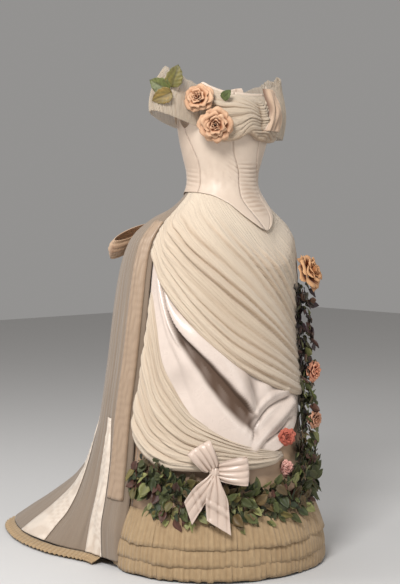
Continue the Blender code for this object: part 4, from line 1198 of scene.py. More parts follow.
@dataclass
class Bodice:
    """The pointed satin bodice: a shirred strip, two fronts, two sides and two backs."""

    rows: int = 96
    columns: int = 24
    puckers: int = 13

    def panel(self, name: str, low: Callable, high: Callable, relief: Callable) -> bpy.types.Object:
        """Builds one panel.

        Args:
            name: the CAD node that it stands for.
            low: the angle of its right edge at a height.
            high: the angle of its left edge at a height.
            relief: the rise of its wrinkles, from the share across, angle and height.

        Returns:
            The panel.
        """
        across = np.linspace(0, 1, self.columns)[None, :]

        def angle_at(height: Grid) -> Grid:
            """The angle of every column at a height."""
            return mix(low(height) + 0.02, high(height) - 0.02, across)

        top = np.full((1, self.columns), 1.28)
        bottom = np.full((1, self.columns), 1.0)
        for _ in range(6):
            top = NECKLINE(np.abs(angle_at(top)))
            bottom = BASQUE_HEM(angle_at(bottom))
        height = mix(bottom, top, np.linspace(0, 1, self.rows)[:, None])
        angle = angle_at(height)
        edge = np.minimum(across, 1 - across) * (high(height) - low(height)) * 0.0022
        seam = -0.0006 * np.exp(-((edge / 0.0014) ** 2)) + 0.0004 * np.exp(-(((edge - 0.004) / 0.0018) ** 2))
        rise = relief(across, angle, height)
        plain = bodice_point(angle, height, -0.0015)
        near_waist = hill(height - WAIST, 0.045)[..., None]
        for _ in range(24):
            around = (plain[:-2] + plain[2:]) / 2
            plain[1:-1] = mix(plain[1:-1], around, near_waist[1:-1])
        points = raised(plain, rise + seam + 0.0006)
        # Dark lines along the seams, and painted shade in the hollows of the wrinkles.
        shade = 0.22 * np.exp(-((edge / 0.0013) ** 2)) + hollows(rise, 4, 0.0012) * 0.42
        # Painted shade on the sides and the back, from 70 degrees round.
        side = 0.18 * ease((np.abs(angle) - 70) / 14)
        fold = np.clip(shade + side, 0, 0.8)
        cloth = Cloth("dressed_" + name, points, SATIN_WALL, "satin_bodice", fold=fold)
        return dress(cloth.make(), name)

    def shirring(self, across: Grid, angle: Grid, height: Grid) -> Grid:
        """Short level puckers up the front strip."""
        share = (height - 0.955) / 0.150
        shown = ease(share / 0.06) * ease((1 - share) / 0.10)
        wobble = 0.10 * np.sin(7 * share + 5 * across)
        wave = (1 - np.cos(2 * math.pi * (self.puckers * share + wobble))) / 2
        return 0.0042 * wave**1.5 * np.sin(math.pi * np.clip(across, 0, 1)) ** 0.6 * shown

    def waist_wrinkles(self, across: Grid, angle: Grid, height: Grid) -> Grid:
        """Soft wrinkles at the waist, drawn towards the strip's seam."""
        near = np.exp(-((np.abs(angle - 8) - 20) / 16) ** 2)
        pulls = (1 - np.cos(2 * math.pi * (height - 0.0012 * np.abs(angle)) / 0.0125)) / 2
        soft = 0.0011 * ripple(angle / 22, height * 17, 61) * hill(height - 1.060, 0.07)
        return 0.0026 * near * pulls * hill(height - 1.085, 0.055) + soft

    def side_wrinkles(self, across: Grid, angle: Grid, height: Grid) -> Grid:
        """Level wrinkles where the side panels bend in at the waist."""
        wave = (1 - np.cos(2 * math.pi * (height + 0.0002 * angle) / 0.013)) / 2
        return 0.0016 * wave * hill(height - 1.052, 0.045) * np.sin(math.pi * across) ** 0.5

    def build(self) -> list[bpy.types.Object]:
        """Builds the seven panels."""

        def strip(side: int) -> Callable:
            """An edge of the shirred strip."""
            return lambda z: STRIP_CENTRE(z) + side * STRIP_HALF(z)

        def fixed(angle: float) -> Callable:
            """A seam at one angle."""
            return lambda z: angle + 0 * np.asarray(z, float)

        table = (
            ("bodice_shirred_strip", strip(-1), strip(1), self.shirring),
            ("bodice_front_left", strip(1), SIDE_SEAM, self.waist_wrinkles),
            ("bodice_front_right", lambda z: -SIDE_SEAM(z), strip(-1), self.waist_wrinkles),
            ("bodice_side_left", SIDE_SEAM, fixed(BACK_SEAM), self.side_wrinkles),
            ("bodice_side_right", fixed(-BACK_SEAM), lambda z: -SIDE_SEAM(z), self.side_wrinkles),
            ("bodice_back_left", fixed(BACK_SEAM), fixed(180), self.side_wrinkles),
            ("bodice_back_right", fixed(-180), fixed(-BACK_SEAM), self.side_wrinkles),
        )
        return [self.panel(*row) for row in table]


BERTHA_HEM = Line(
    (
        (-64, 1.190),
        (-52, 1.168),
        (-38, 1.152),
        (-22, 1.158),
        (-10, 1.174),
        (4, 1.158),
        (30, 1.152),
        (64, 1.160),
    )
)


@dataclass
class Bertha:
    """The puffed net round the neckline, caught in a soft knot left of the centre."""

    rows: int = 80
    columns: int = 120
    knot_angle: float = 6.0

    def sheet(
        self, name: str, angle: Grid, hem: Grid, reach: float, folds: Folds, knot: float
    ) -> bpy.types.Object:
        """Builds one puff of net, turned under at its hem.

        Args:
            name: the CAD node that it stands for.
            angle: the angles of its columns.
            hem: its hem's height at each.
            reach: how far it stands off the bodice.
            folds: its folds.
            knot: how strongly the knot draws it in, 0 for none.

        Returns:
            The piece.
        """
        share = np.linspace(0, 1, self.rows)[:, None]
        neck = NECKLINE(np.abs(180 - np.abs(180 - angle)))
        height = mix(hem + 0.008, neck - 0.006, share)
        away = angle - self.knot_angle
        drawn = knot * np.exp(-((away / 8) ** 2))
        fan = mix(1.0, mix(0.42, 1.05, ease(np.abs(away) / 40)), knot)
        climb = knot * 0.0065 * np.maximum(away, 0) - knot * 0.0020 * np.maximum(-away, 0)
        across = 0.42 + (share - 0.42 - climb) / fan
        along = (angle - angle.min()) / np.ptp(angle)
        top = ease((1 - share) / 0.30)
        ends = ease(np.minimum(along, 1 - along) / 0.16)
        rise = folds.rise(along, across) * top * ends * mix(0.35, 1.0, ease(share / 0.16))
        puff = (reach - 0.004) * np.sqrt(np.maximum(0, 1 - (share * 1.02) ** 2.4)) * mix(0.30, 1.0, ends)
        window = np.sin(math.pi * np.clip(share * 1.15, 0, 1)) ** 0.6
        roll = 0.0085 * knot * hill(away - 3 + 8 * (share - 0.5), 6.5) * window
        out = np.maximum(puff * mix(1, 0.80, drawn) + rise, 0.0016) + roll
        body = bodice_point(angle, height, out)
        turned = bodice_point(angle, hem + 0.012, 0.0023)
        lowest = bodice_point(angle, hem, reach * 0.45 * mix(0.4, 1.0, ends))
        side = bodice_point(angle, hem + 0.002, reach * 0.8 * mix(0.32, 1.0, ends))
        points = np.concatenate([turned, lowest, side, body])
        creases = hill(np.abs(away - 3 + 8 * (share - 0.5)) - 6.5, 2.6) * window * knot
        # Painted shade at the foot of the folds, near the hem and in the knot's creases; the turned-under edge
        # gets painted shade too.
        shade = folds.valley(along, across) * 0.75 * top + 0.20 * ease(1 - share / 0.2)
        shade = np.clip(np.maximum(shade, 0.75 * creases * (away < 8)), 0, 0.85)
        fold = np.concatenate([np.full((3, angle.shape[1]), 0.5), shade])
        across = np.concatenate([np.repeat(across[:1], 3, axis=0), across])
        strands = (along + 0 * across, across)
        cloth = Cloth("dressed_" + name, points, TULLE_WALL, "tulle_puff", fold=fold, strands=strands)
        return dress(cloth.make(), name)

    def build(self) -> list[bpy.types.Object]:
        """Builds the front and the back."""
        front = np.linspace(-63, 63, self.columns)[None, :]
        back = np.linspace(125, 235, self.columns // 2)[None, :]
        front_folds = Folds(6, 0.0105, 71, 0.36, 0.6)
        back_folds = Folds(5, 0.0055, 73, 0.4, 0.5)
        back_hem = np.full_like(back, 1.205)
        return [
            self.sheet("bertha_front", front, BERTHA_HEM(front), 0.024, front_folds, 1.0),
            self.sheet("bertha_back", back, back_hem, 0.014, back_folds, 0.0),
        ]


@dataclass(frozen=True)
class Sleeve:
    """A cap of gathered net from the front of an armhole, out over the arm, to its back."""

    node: str
    side: int
    reach: float
    top_reach: float
    low_outer: float
    low_inner: float
    high: float
    rows: int = 34
    columns: int = 150

    def build(self) -> bpy.types.Object:
        """Builds the cap with fine gathers and a ruffled top."""
        degrees = np.linspace(-90, 90, self.columns)[None, :]
        share = np.linspace(0, 1, self.rows)[:, None]
        turn = np.radians(degrees)
        cosine = np.cos(turn)
        low = mix(self.low_inner, self.low_outer, cosine)
        height = mix(low, mix(1.300, self.high, cosine), share)
        front = bodice_point(self.side * 66 + 0 * turn, height, 0.001)
        back = bodice_point(self.side * 114 + 0 * turn, height, 0.001)
        root = mix(front, back, ((np.sin(turn) + 1) / 2)[..., None])
        gathers = Folds(21, 0.0150, 81 + self.side, 0.5, 0.6).rise(share * 0.6, (degrees + 90) / 180)
        gathers = gathers * mix(0.7, 1.0, share) * cosine
        swell = mix(self.reach, self.top_reach, share**2.2) - 0.010 * (1 - share) ** 2
        reach = (swell + gathers - 0.003) * np.clip(cosine, 0, 1) ** 0.8
        ruffle = (0.006 * np.sin(9 * turn + 2 * share) + 0.0015 * np.sin(23 * turn)) * share**3 * cosine
        points = root + np.stack([self.side * reach, 0 * reach, ruffle + 0 * reach], axis=-1)
        strands = (share + 0 * degrees, degrees / 60 + 0 * share)
        # Painted shade in the hollows of the gathers.
        fold = hollows(gathers, 4, 0.002) * 0.4
        if self.side < 0:
            points, fold = points[:, ::-1], fold[:, ::-1]
        cloth = Cloth("dressed_" + self.node, points, TULLE_WALL, "tulle_sheer", fold=fold, strands=strands)
        return dress(cloth.make(), self.node)


@dataclass
class ShoulderPleats:
    """The satin pleats that catch the net over the left breast."""

    pleats: int = 4
    depth: float = 0.0085
    rows: int = 50
    columns: int = 97

    def build(self) -> bpy.types.Object:
        """Builds the pleats in one sheet."""
        share = np.linspace(0, 1, self.rows)[:, None]
        across = np.linspace(0, 1, self.columns)[None, :]
        angle = mix(mix(6, 38, across), mix(22, 59, across), share)
        height = mix(1.182, 1.298, share) + 0 * across
        phase = (self.pleats * across) % 1.0
        wave = np.where(phase < 0.80, ease(phase / 0.80) ** 0.7, ease((1 - phase) / 0.20))
        wave = wave * (0.8 + 0.2 * np.sin(9 * share + 4 * np.floor(self.pleats * across)))
        clear = mix(0.0245, 0.0130, ease((share - 0.45) / 0.55))
        clear = clear - 0.008 * (1 - ease(np.minimum(across, 1 - across) / 0.08))
        points = bodice_point(angle, height, clear + self.depth * wave)
        # Painted shade in the valleys of the pleats.
        fold = np.clip(ease(1 - wave * 1.7), 0, 0.9)
        cloth = Cloth("dressed_shoulder_folds_left", points, SATIN_WALL, "satin_pleats", fold=fold)
        return dress(cloth.make(), "shoulder_folds_left")


# Flowers and leaves.


def turned(degrees: float, axis: str) -> Matrix:
    """A turn about an axis."""
    return Matrix.Rotation(math.radians(degrees), 4, axis)


def frame_at(point: Vector, normal: Vector) -> Matrix:
    """A matrix at a point: Z along the level normal, X level, Y up."""
    up = Vector((0, 0, 1))
    place = Matrix((up.cross(normal), up, normal)).transposed().to_4x4()
    place.translation = point
    return place


def local_frame(angle: float, height: float, out: float, form: Callable) -> Matrix:
    """The frame at a point that stands off a form, facing straight out of it."""
    near = Vector(form(angle, height, 0.0))
    return frame_at(Vector(form(angle, height, out)), (Vector(form(angle, height, 1.0)) - near).normalized())


def middle_of(node: str) -> Vector:
    """The middle of a CAD node's box."""
    low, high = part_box(node)
    return (low + high) / 2


@dataclass
class Blades:
    """Many small thin blades, petals or leaves, gathered into one mesh."""

    points: list[Grid] = field(default_factory=list)
    faces: list[Grid] = field(default_factory=list)
    tints: list[Grid] = field(default_factory=list)
    uvs: list[Grid] = field(default_factory=list)
    count: int = 0

    def add(self, grid: Grid, place: Matrix, tint: Grid) -> None:
        """Adds one blade.

        Args:
            grid: its points, rows from base to tip.
            place: the matrix that sets it in place.
            tint: a colour at every point, or one for all.
        """
        rows, columns = grid.shape[:2]
        matrix = np.array(place)
        flat = grid.reshape(-1, 3) @ matrix[:3, :3].T + matrix[:3, 3]
        index = np.arange(rows * columns).reshape(rows, columns) + self.count
        faces = np.stack([index[:-1, :-1], index[:-1, 1:], index[1:, 1:], index[1:, :-1]], axis=-1)
        self.points.append(flat)
        self.faces.append(faces.reshape(-1, 4))
        self.tints.append(np.broadcast_to(tint, (rows, columns, 3)).reshape(-1, 3))
        u, v = np.meshgrid(np.linspace(0, 1, columns), np.linspace(0, 1, rows))
        self.uvs.append(np.stack([u, v], axis=-1).reshape(-1, 2))
        self.count += rows * columns

    def make(self, name: str, finish: str, wall: float) -> bpy.types.Object:
        """Builds the mesh of all the blades, each with its wall."""
        mesh = bpy.data.meshes.new(name)
        faces = np.concatenate(self.faces)
        mesh.from_pydata(np.concatenate(self.points).tolist(), [], faces.tolist())
        layer = mesh.uv_layers.new(name="strands")
        layer.data.foreach_set("uv", np.concatenate(self.uvs)[faces.reshape(-1)].astype(np.float32).ravel())
        tint = mesh.attributes.new("tint", "FLOAT_COLOR", "POINT")
        colours = np.concatenate([np.concatenate(self.tints), np.ones((self.count, 1))], axis=1)
        tint.data.foreach_set("color", colours.astype(np.float32).ravel())
        piece = bpy.data.objects.new(name, mesh)
        bpy.context.scene.collection.objects.link(piece)
        thick = piece.modifiers.new("wall", "SOLIDIFY")
        thick.thickness = wall
        thick.offset = 0
        finish_piece(piece, finish)
        return piece


@dataclass(frozen=True)
class Rose:
    """A muslin rose: rings of curved petals round a rolled bud."""

    node: str
    form: Callable
    angle: float
    height: float
    radius: float
    tilt_up: float
    tilt_side: float
    finish: str
    pale: tuple[float, float, float]
    # The darker colour at the petals' bases: the rose's deeper colour, and painted shade deep inside the rose.
    inner_tint_and_shade: tuple[float, float, float]
    seed: int
    # Each ring: petals, tip radius, tip height, half angle, curl, all but the count per radius.
    rings: Stops = (
        (3, 0.15, 0.62, 80, 0.02),
        (3, 0.30, 0.62, 70, 0.06),
        (4, 0.48, 0.56, 60, 0.13),
        (5, 0.68, 0.44, 52, 0.22),
        (5, 0.90, 0.22, 50, 0.28),
        (5, 1.02, 0.00, 46, 0.22),
    )

    def petal(self, ring: tuple[float, ...], phase: float, draw: np.random.Generator) -> tuple[Grid, Grid]:
        """One petal's points and tints, in radii, about the rose's axis."""
        _, reach, tip, half_angle, curl = ring
        u = np.linspace(-1, 1, 9)[None, :]
        v = np.linspace(0, 1, 9)[:, None]
        reach = reach * draw.uniform(0.86, 1.10)
        tip = tip + draw.uniform(-0.09, 0.09)
        end = 1 - 0.20 * np.abs(u) ** 2.4
        way = v * end
        wide = np.sin(math.pi * (0.16 + 0.62 * v)) ** 0.8
        turn = phase + np.radians(half_angle) * u * wide
        out = reach * (0.30 + 0.70 * way**0.9) * (1 + 0.10 * np.sin(math.pi * way))
        out = out + curl * ease((way - 0.72) / 0.28) * (0.5 + 0.5 * np.abs(u))
        base = -0.16
        rise = base + (tip - base) * np.sin(way * math.pi * 0.5) ** 0.9
        rise = rise - curl * 0.45 * ease((way - 0.80) / 0.20)
        flutter = draw.uniform(0, 6)
        rise = rise + 0.065 * np.sin(4.2 * u + flutter) * way**2
        out = out + 0.060 * np.sin(5.1 * u + flutter * 2) * way**2
        points = np.stack([out * np.cos(turn), out * np.sin(turn), rise + 0 * turn], axis=-1)
        # The tint runs from the darker colour at each petal's base, partly the rose's own and partly painted shade
        # deep in the rose, to pale at the tip, a little darker again at the very edge.
        fade = ease(way * 1.45 - 0.45) * draw.uniform(0.72, 1.0)
        edge = 0.12 * ease((way - 0.90) / 0.10)
        tint = mix(np.array(self.inner_tint_and_shade), np.array(self.pale), np.clip(fade - edge, 0, 1)[..., None])
        return points, tint

    def build(self) -> bpy.types.Object:
        """Builds the rose where its CAD node is."""
        draw = np.random.default_rng(self.seed)
        place = local_frame(self.angle, self.height, 0.0, self.form)
        place = place @ turned(-self.tilt_up, "X") @ turned(self.tilt_side, "Y")
        axis = place.col[2].to_3d()
        place.translation = middle_of(self.node) - axis * self.radius * 0.20
        blades = Blades()
        for number, ring in enumerate(self.rings):
            for petal in range(int(ring[0])):
                phase = 2 * math.pi * (petal + 0.5 * (number % 2) + draw.uniform(-0.12, 0.12)) / ring[0]
                points, tint = self.petal(ring, phase, draw)
                blades.add(points * self.radius, place, tint)
        piece = blades.make("dressed_" + self.node, self.finish, 0.0006)
        return dress(piece, self.node)


def leaf_grid(length: float, width: float, draw: np.random.Generator) -> Grid:
    """A leaf's points along Y, folded along its midrib and bent at its tip.

    Args:
        length: from base to tip.
        width: at its widest.
        draw: the source of its small differences.

    Returns:
        A grid of points, rows from base to tip.
    """
    v = np.linspace(0, 1, 7)[:, None]
    u = np.linspace(-1, 1, 5)[None, :]
    half = width / 2 * np.sin(math.pi * v**0.8) ** 0.75 + width * 0.03 * (1 - v)
    bend = draw.uniform(-0.35, 0.55)
    twist = draw.uniform(-0.5, 0.5)
    x = u * half
    z = np.abs(u) * half * draw.uniform(0.2, 0.5) + bend * length * v**2 * 0.4 + twist * x * v
    z = z + 0.03 * length * np.sin(9 * v + 3 * u + draw.uniform(0, 6)) * np.abs(u)
    y = length * v - 0.05 * length * np.abs(u) * np.sin(math.pi * v)
    return np.stack([x + 0 * v, y + 0 * u, z], axis=-1)


class Greens(Enum):
    """The leaf colours of the garlands, dye mixtures; the palest yellow-green colour in GARDEN and in MIXED is
    painted highlight on the leaves that get it.
    """

    GARDEN = (
        (0.046, 0.060, 0.018),
        (0.075, 0.088, 0.022),
        (0.030, 0.045, 0.016),
        (0.060, 0.068, 0.016),
        (0.125, 0.078, 0.026),
        # A pale yellow-green that stands for painted highlight on a leaf.
        (0.280, 0.280, 0.095),
        (0.100, 0.115, 0.030),
        (0.090, 0.030, 0.018),
        (0.150, 0.120, 0.030),
    )
    PLUM = (
        (0.035, 0.014, 0.018),
        (0.070, 0.030, 0.022),
        (0.030, 0.028, 0.018),
        (0.090, 0.045, 0.025),
        (0.110, 0.110, 0.035),
    )
    MIXED = (
        (0.100, 0.125, 0.030),
        # A pale yellow-green that stands for painted highlight on a leaf.
        (0.230, 0.250, 0.090),
        (0.055, 0.070, 0.020),
        (0.110, 0.045, 0.030),
        (0.050, 0.060, 0.016),
        (0.150, 0.100, 0.040),
    )

    def tint(self, draw: np.random.Generator, under: bool) -> Grid:
        """One leaf's colour from the mixture, with painted shade for a leaf that lies under the others."""
        colours = np.array(self.value)
        # Painted shade: a leaf that lies under the others is darkened to 0.45.
        return colours[draw.integers(len(colours))] * draw.uniform(0.70, 1.20) * (0.45 if under else 1.0)


@dataclass(frozen=True)
class Garland:
    """A stem along the skirt with many small muslin leaves crowded round it."""

    node: str
    slot: str
    stops: Stops
    leaves: int
    band: float
    longest: float
    greens: Greens
    seed: int
    backing: float = 0.38
    depth: float = 0.016

    def route(self, share: float) -> tuple[float, float, float]:
        """The stem's angle, height and stand-off at a share of its length."""
        keys = range(len(self.stops))
        place = share * (len(self.stops) - 1)
        return tuple(float(Line(tuple(zip(keys, column)))(place)) for column in zip(*self.stops))

    def stem(self) -> bpy.types.Object:
        """Models the stem as a drawn curve turned into a mesh."""
        curve = bpy.data.curves.new(self.node + "_stem", "CURVE")
        curve.dimensions = "3D"
        curve.bevel_depth = 0.0016
        curve.bevel_resolution = 1
        curve.use_fill_caps = True
        spline = curve.splines.new("POLY")
        spline.points.add(24)
        for number, point in enumerate(spline.points):
            angle, height, out = self.route(number / 24)
            sway = 0.004 * math.sin(0.9 * number + self.seed)
            point.co = (*skirt_point(angle, height + sway, out + 0.004), 1)
        piece = bpy.data.objects.new(self.node + "_stem", curve)
        bpy.context.scene.collection.objects.link(piece)
        pick_only(piece)
        bpy.ops.object.convert(target="MESH")
        return piece

    def build(self) -> bpy.types.Object:
        """Builds the leaves and joins the stem to them."""
        draw = np.random.default_rng(self.seed)
        blades = Blades()
        for number in range(self.leaves):
            share = (number + draw.uniform(0, 1)) / self.leaves
            angle, height, out = self.route(min(max(share, 0.0), 1.0))
            here = Vector(skirt_point(angle, height, out))
            ahead = Vector(skirt_point(*self.route(min(share + 0.02, 1.0)))) - here
            level = local_frame(angle, height, out, skirt_point)
            local = level.to_3x3().inverted() @ ahead
            heading = math.degrees(math.atan2(-local.x, local.y)) if ahead.length > 1e-6 else 0.0
            under = draw.uniform(0, 1) < self.backing
            offset = draw.uniform(-1, 1) * self.band
            side = 1 if offset + draw.normal(0, 0.7) * self.band > 0 else -1
            slide = Matrix.Rotation(math.radians(heading), 4, "Z") @ Vector((-offset, 0, 0))
            lift = self.depth * draw.uniform(0, 0.3 if under else 1.0)
            spin = heading + side * draw.uniform(20, 110)
            place = level @ Matrix.Translation((slide.x, slide.y, lift)) @ turned(spin, "Z")
            tip = draw.uniform(0, 8) if under else draw.uniform(0, 42)
            place = place @ turned(tip, "X") @ turned(draw.uniform(-36, 36), "Y")
            length = self.longest * draw.uniform(0.42, 1.0)
            grid = leaf_grid(length, length * draw.uniform(0.5, 0.72), draw)
            rib = 1 - 0.25 * hill(np.linspace(-1, 1, 5), 0.6)[None, :, None]
            blades.add(grid, place, self.greens.tint(draw, under)[None, None, :] * rib)
        piece = blades.make("dressed_" + self.node, self.slot, 0.0005)
        stem = self.stem()
        stem.data.materials.append(piece.data.materials[0])
        colour = stem.data.attributes.new("tint", "FLOAT_COLOR", "POINT")
        colour.data.foreach_set("color", np.tile([0.12, 0.08, 0.03, 1.0], len(stem.data.vertices)))
        pick_only(piece)
        stem.select_set(True)
        bpy.ops.object.join()
        return dress(piece, self.node)


@dataclass(frozen=True)
class BustLeaf:
    """One muslin leaf of the cluster on the right shoulder."""

    node: str
    spin: float
    lift: float
    length: float
    finish: str
    tint: tuple[float, float, float]
    clear: float = 0.005

    def build(self) -> bpy.types.Object:
        """Builds the leaf where its CAD node is."""
        draw = np.random.default_rng(len(self.node))
        turn = math.radians(-46)
        normal = Vector((math.sin(turn), -math.cos(turn), 0))
        place = frame_at(Vector(), normal) @ turned(self.spin, "Z") @ turned(self.lift, "X")
        middle = middle_of(self.node) + normal * self.clear
        place.translation = middle - place.to_3x3() @ Vector((0, self.length / 2, 0))
        v = np.linspace(0, 1, 18)[:, None]
        u = np.linspace(-1, 1, 15)[None, :]
        half = self.length * 0.38 * np.sin(math.pi * v**0.72) ** 0.6 * (1 + 0.05 * np.sin(26 * v))
        x = u * half
        y = self.length * v - 0.06 * self.length * np.abs(u)
        z = 0.20 * np.abs(x) + 0.0014 * np.sin(34 * v - 9 * np.abs(u)) * np.abs(u) - 0.10 * self.length * v**2
        grid = np.stack([x, y, z + 0 * x], axis=-1)
        vein = 1 - 0.35 * hill(u, 0.16) - 0.16 * hill(np.sin(34 * v - 9 * np.abs(u)) - 1, 0.5)
        rust = 0.55 * ripple(u * 1.3, v * 1.3, len(self.node))
        tint = np.array(self.tint)[None, None, :] * (vein + rust)[..., None] * draw.uniform(0.95, 1.05)
        tint = tint * np.stack([1 + 0.5 * np.abs(rust), 1 + 0 * rust, 1 + 0 * rust], axis=-1)
        blades = Blades()
        blades.add(grid, place, np.clip(tint, 0.01, 1))
        return dress(blades.make("dressed_" + self.node, self.finish, 0.0008), self.node)


# Bows.


@dataclass(frozen=True)
class Ribbon:
    """A loop or a tail of a bow: its size, direction and where it starts."""

    node: str
    length: float
    width: float
    direction: float
    level: float
    puff: float = 0.0
    swing: float = 0.0
    lean: float = 0.0

    def loop(self, place: Matrix) -> Grid:
        """A loop's points: out along X, over at its far end and back under itself."""
        across = np.linspace(-1, 1, 33)[:, None]
        ends = math.radians(24)
        turn = np.linspace(-math.pi + ends, math.pi - ends, 61)[None, :]
        share = (1 + np.cos(turn)) / 2
        narrow = mix(0.36, 1, share**0.4)
        rise = self.puff * (np.sin(turn) * np.sqrt(share) + 0.55 * share) * (1 - 0.18 * across**2)
        pleats = 0.0060 * np.abs(np.sin(across * 6.5 + 0.8 * np.sin(turn) + self.direction))
        dent = 0.0034 * np.sin(across * 3.1 + 2.6 * share + self.direction)
        crumple = (pleats * (1 - 0.60 * share) + dent) * np.sign(np.sin(turn) + 1e-6)
        x = self.length * share * (1 - 0.05 * across**2)
        y = across * self.width / 2 * narrow
        return self.placed(np.stack([x, y + 0 * x, rise + crumple], axis=-1), place)

    def tail(self, place: Matrix) -> Grid:
        """A tail's points, pleated at the knot and cut to a slant."""
        share = np.linspace(1, 0, 60)[:, None]
        across = np.linspace(-1, 1, 31)[None, :]
        width = self.width * mix(0.35, 1.0, ease(share / 0.55))
        cut = 0.16 * self.length * share * across * mix(0.4, 1.0, ease((share - 0.8) / 0.2))
        rise = 0.004 * np.sin(7 * share) * (1 + across * 0.5) + self.lean * share
        pleats = 0.0052 * np.abs(np.sin(across * 4.2 + 1.6 * share + self.direction)) * (1 - 0.6 * share)
        buckle = 0.005 * hill(share - 0.62 - 0.12 * across, 0.10)
        x = self.length * share + cut
        y = across * width / 2
        return self.placed(np.stack([x, y, rise + pleats + buckle], axis=-1), place)

    @staticmethod
    def placed(grid: Grid, place: Matrix) -> Grid:
        """The grid set in place by a matrix."""
        matrix = np.array(place)
        return grid @ matrix[:3, :3].T + matrix[:3, 3]


@dataclass(frozen=True)
class Bow:
    """A satin bow: a wrapped knot with its loops and tails."""

    name: str
    angle: float
    height: float
    tilt: float
    knot_size: tuple[float, float, float]
    finish: str
    slot: str
    loops: tuple[Ribbon, ...]
    tails: tuple[Ribbon, ...]

    def knot(self, place: Matrix) -> bpy.types.Object:
        """Models the knot from a sphere, drawn out and creased."""
        bpy.ops.object.select_all(action="DESELECT")
        bpy.ops.mesh.primitive_uv_sphere_add(segments=36, ring_count=24, radius=1.0)
        piece = bpy.context.object
        piece.name = f"dressed_{self.name}_knot"
        bpy.ops.object.mode_set(mode="EDIT")
        bpy.ops.mesh.select_all(action="SELECT")
        bpy.ops.transform.resize(value=self.knot_size)
        bpy.ops.object.mode_set(mode="OBJECT")
        for vert in piece.data.vertices:
            share = vert.co.y / self.knot_size[1]
            crease = 1 + 0.10 * math.sin(6 * math.atan2(vert.co.z, vert.co.x) + 2.2 * share)
            vert.co = Vector((vert.co.x * crease * (1 - 0.12 * share**2), vert.co.y, vert.co.z * crease))
        piece.data.transform(place)
        finish_piece(piece, self.finish)
        return dress(piece, f"{self.name}_knot")

    def build(self) -> list[bpy.types.Object]:
        """Builds the bow round the middle of its CAD knot."""
        place = local_frame(self.angle, self.height, 0.0, skirt_point) @ turned(self.tilt, "X")
        place.translation = middle_of(f"{self.name}_knot")
        pieces = [self.knot(place)]
        clear = self.knot_size[1] * 0.45
        for ribbon in self.loops + self.tails:
            way = turned(ribbon.swing, "Y") @ turned(ribbon.direction, "Z")
            start = place @ way @ Matrix.Translation((clear, 0, ribbon.level))
            grid = ribbon.loop(start) if ribbon.puff else ribbon.tail(start)
            level = grid @ np.array(place)[:3, 2]
            # Painted shade in the hollows of the ribbons.
            fold = hollows(level, 10, 0.0025) * 0.7
            cloth = Cloth("dressed_" + ribbon.node, grid, SATIN_WALL * 0.7, self.finish, fold=fold)
            pieces.append(dress(cloth.make(), ribbon.node))
        return pieces


# The whole gown.


@dataclass(frozen=True)
class Studio:
    """The floor, the lights and the camera at the photograph's angle."""

    floor_size: float = 14.0
    lens: float = 89.26
    eye: tuple[float, float, float] = (-2.729, -2.940, -0.034)
    look: tuple[float, float, float] = (0.6677, 0.7416, -0.0645)

    def floor(self) -> None:
        """Lays the plain pale floor."""
        bpy.ops.object.select_all(action="DESELECT")
        bpy.ops.mesh.primitive_plane_add(size=self.floor_size, location=(0, 0, -WAIST))
        floor = bpy.context.object
        floor.name = "studio_floor"
        bench = Bench("studio_floor")
        bench.shade("Base Color", (0.62, 0.61, 0.60, 1))
        bench.shade("Roughness", 0.8)
        floor.data.materials.append(bench.material)

    @staticmethod
    def aimed(at: Vector, aim: Vector) -> Matrix:
        """The matrix of a lamp or camera at a place, looking along a direction."""
        return Matrix.Translation(at) @ aim.to_track_quat("-Z", "Y").to_matrix().to_4x4()

    def lamp(self, name: str, place: tuple[float, float, float], size: float, power: float) -> None:
        """Adds a soft area lamp.

        Args:
            name: its name.
            place: metres right of, above and in front of the gown, as the camera sees it.
            size: its side.
            power: its power in watts.
        """
        look = Vector(self.look).normalized()
        right = look.cross(Vector((0, 0, 1))).normalized()
        data = bpy.data.lights.new(name, "AREA")
        data.size = size
        data.energy = power
        lamp = bpy.data.objects.new(name, data)
        at = right * place[0] + Vector((0, 0, place[1])) - Vector((look.x, look.y, 0)) * place[2]
        lamp.matrix_world = self.aimed(at, Vector((0, 0, -0.3)) - at)
        bpy.context.scene.collection.objects.link(lamp)

    def build(self) -> None:
        """Sets up the floor, the lights, the air and the camera."""
        self.floor()
        self.lamp("key", (-0.85, 1.9, 2.9), 1.0, 128)
        self.lamp("fill", (2.9, 0.6, 2.0), 2.4, 24)
        self.lamp("side", (-3.0, 1.0, 0.4), 1.6, 34)
        self.lamp("top", (-0.4, 2.9, -0.8), 2.0, 26)
        world = bpy.data.worlds.new("air")
        world.use_nodes = True
        world.node_tree.nodes["Background"].inputs["Color"].default_value = (0.92, 0.90, 0.88, 1)
        world.node_tree.nodes["Background"].inputs["Strength"].default_value = 0.32
        bpy.context.scene.world = world
        data = bpy.data.cameras.new("camera")
        data.lens = self.lens
        camera = bpy.data.objects.new("camera", data)
        look = Vector(self.look).normalized()
        camera.matrix_world = self.aimed(Vector(self.eye), look)
        bpy.context.scene.collection.objects.link(camera)
        bpy.context.scene.camera = camera
        bpy.context.scene.view_settings.view_transform = "Standard"


PEACH = (0.76, 0.45, 0.23)
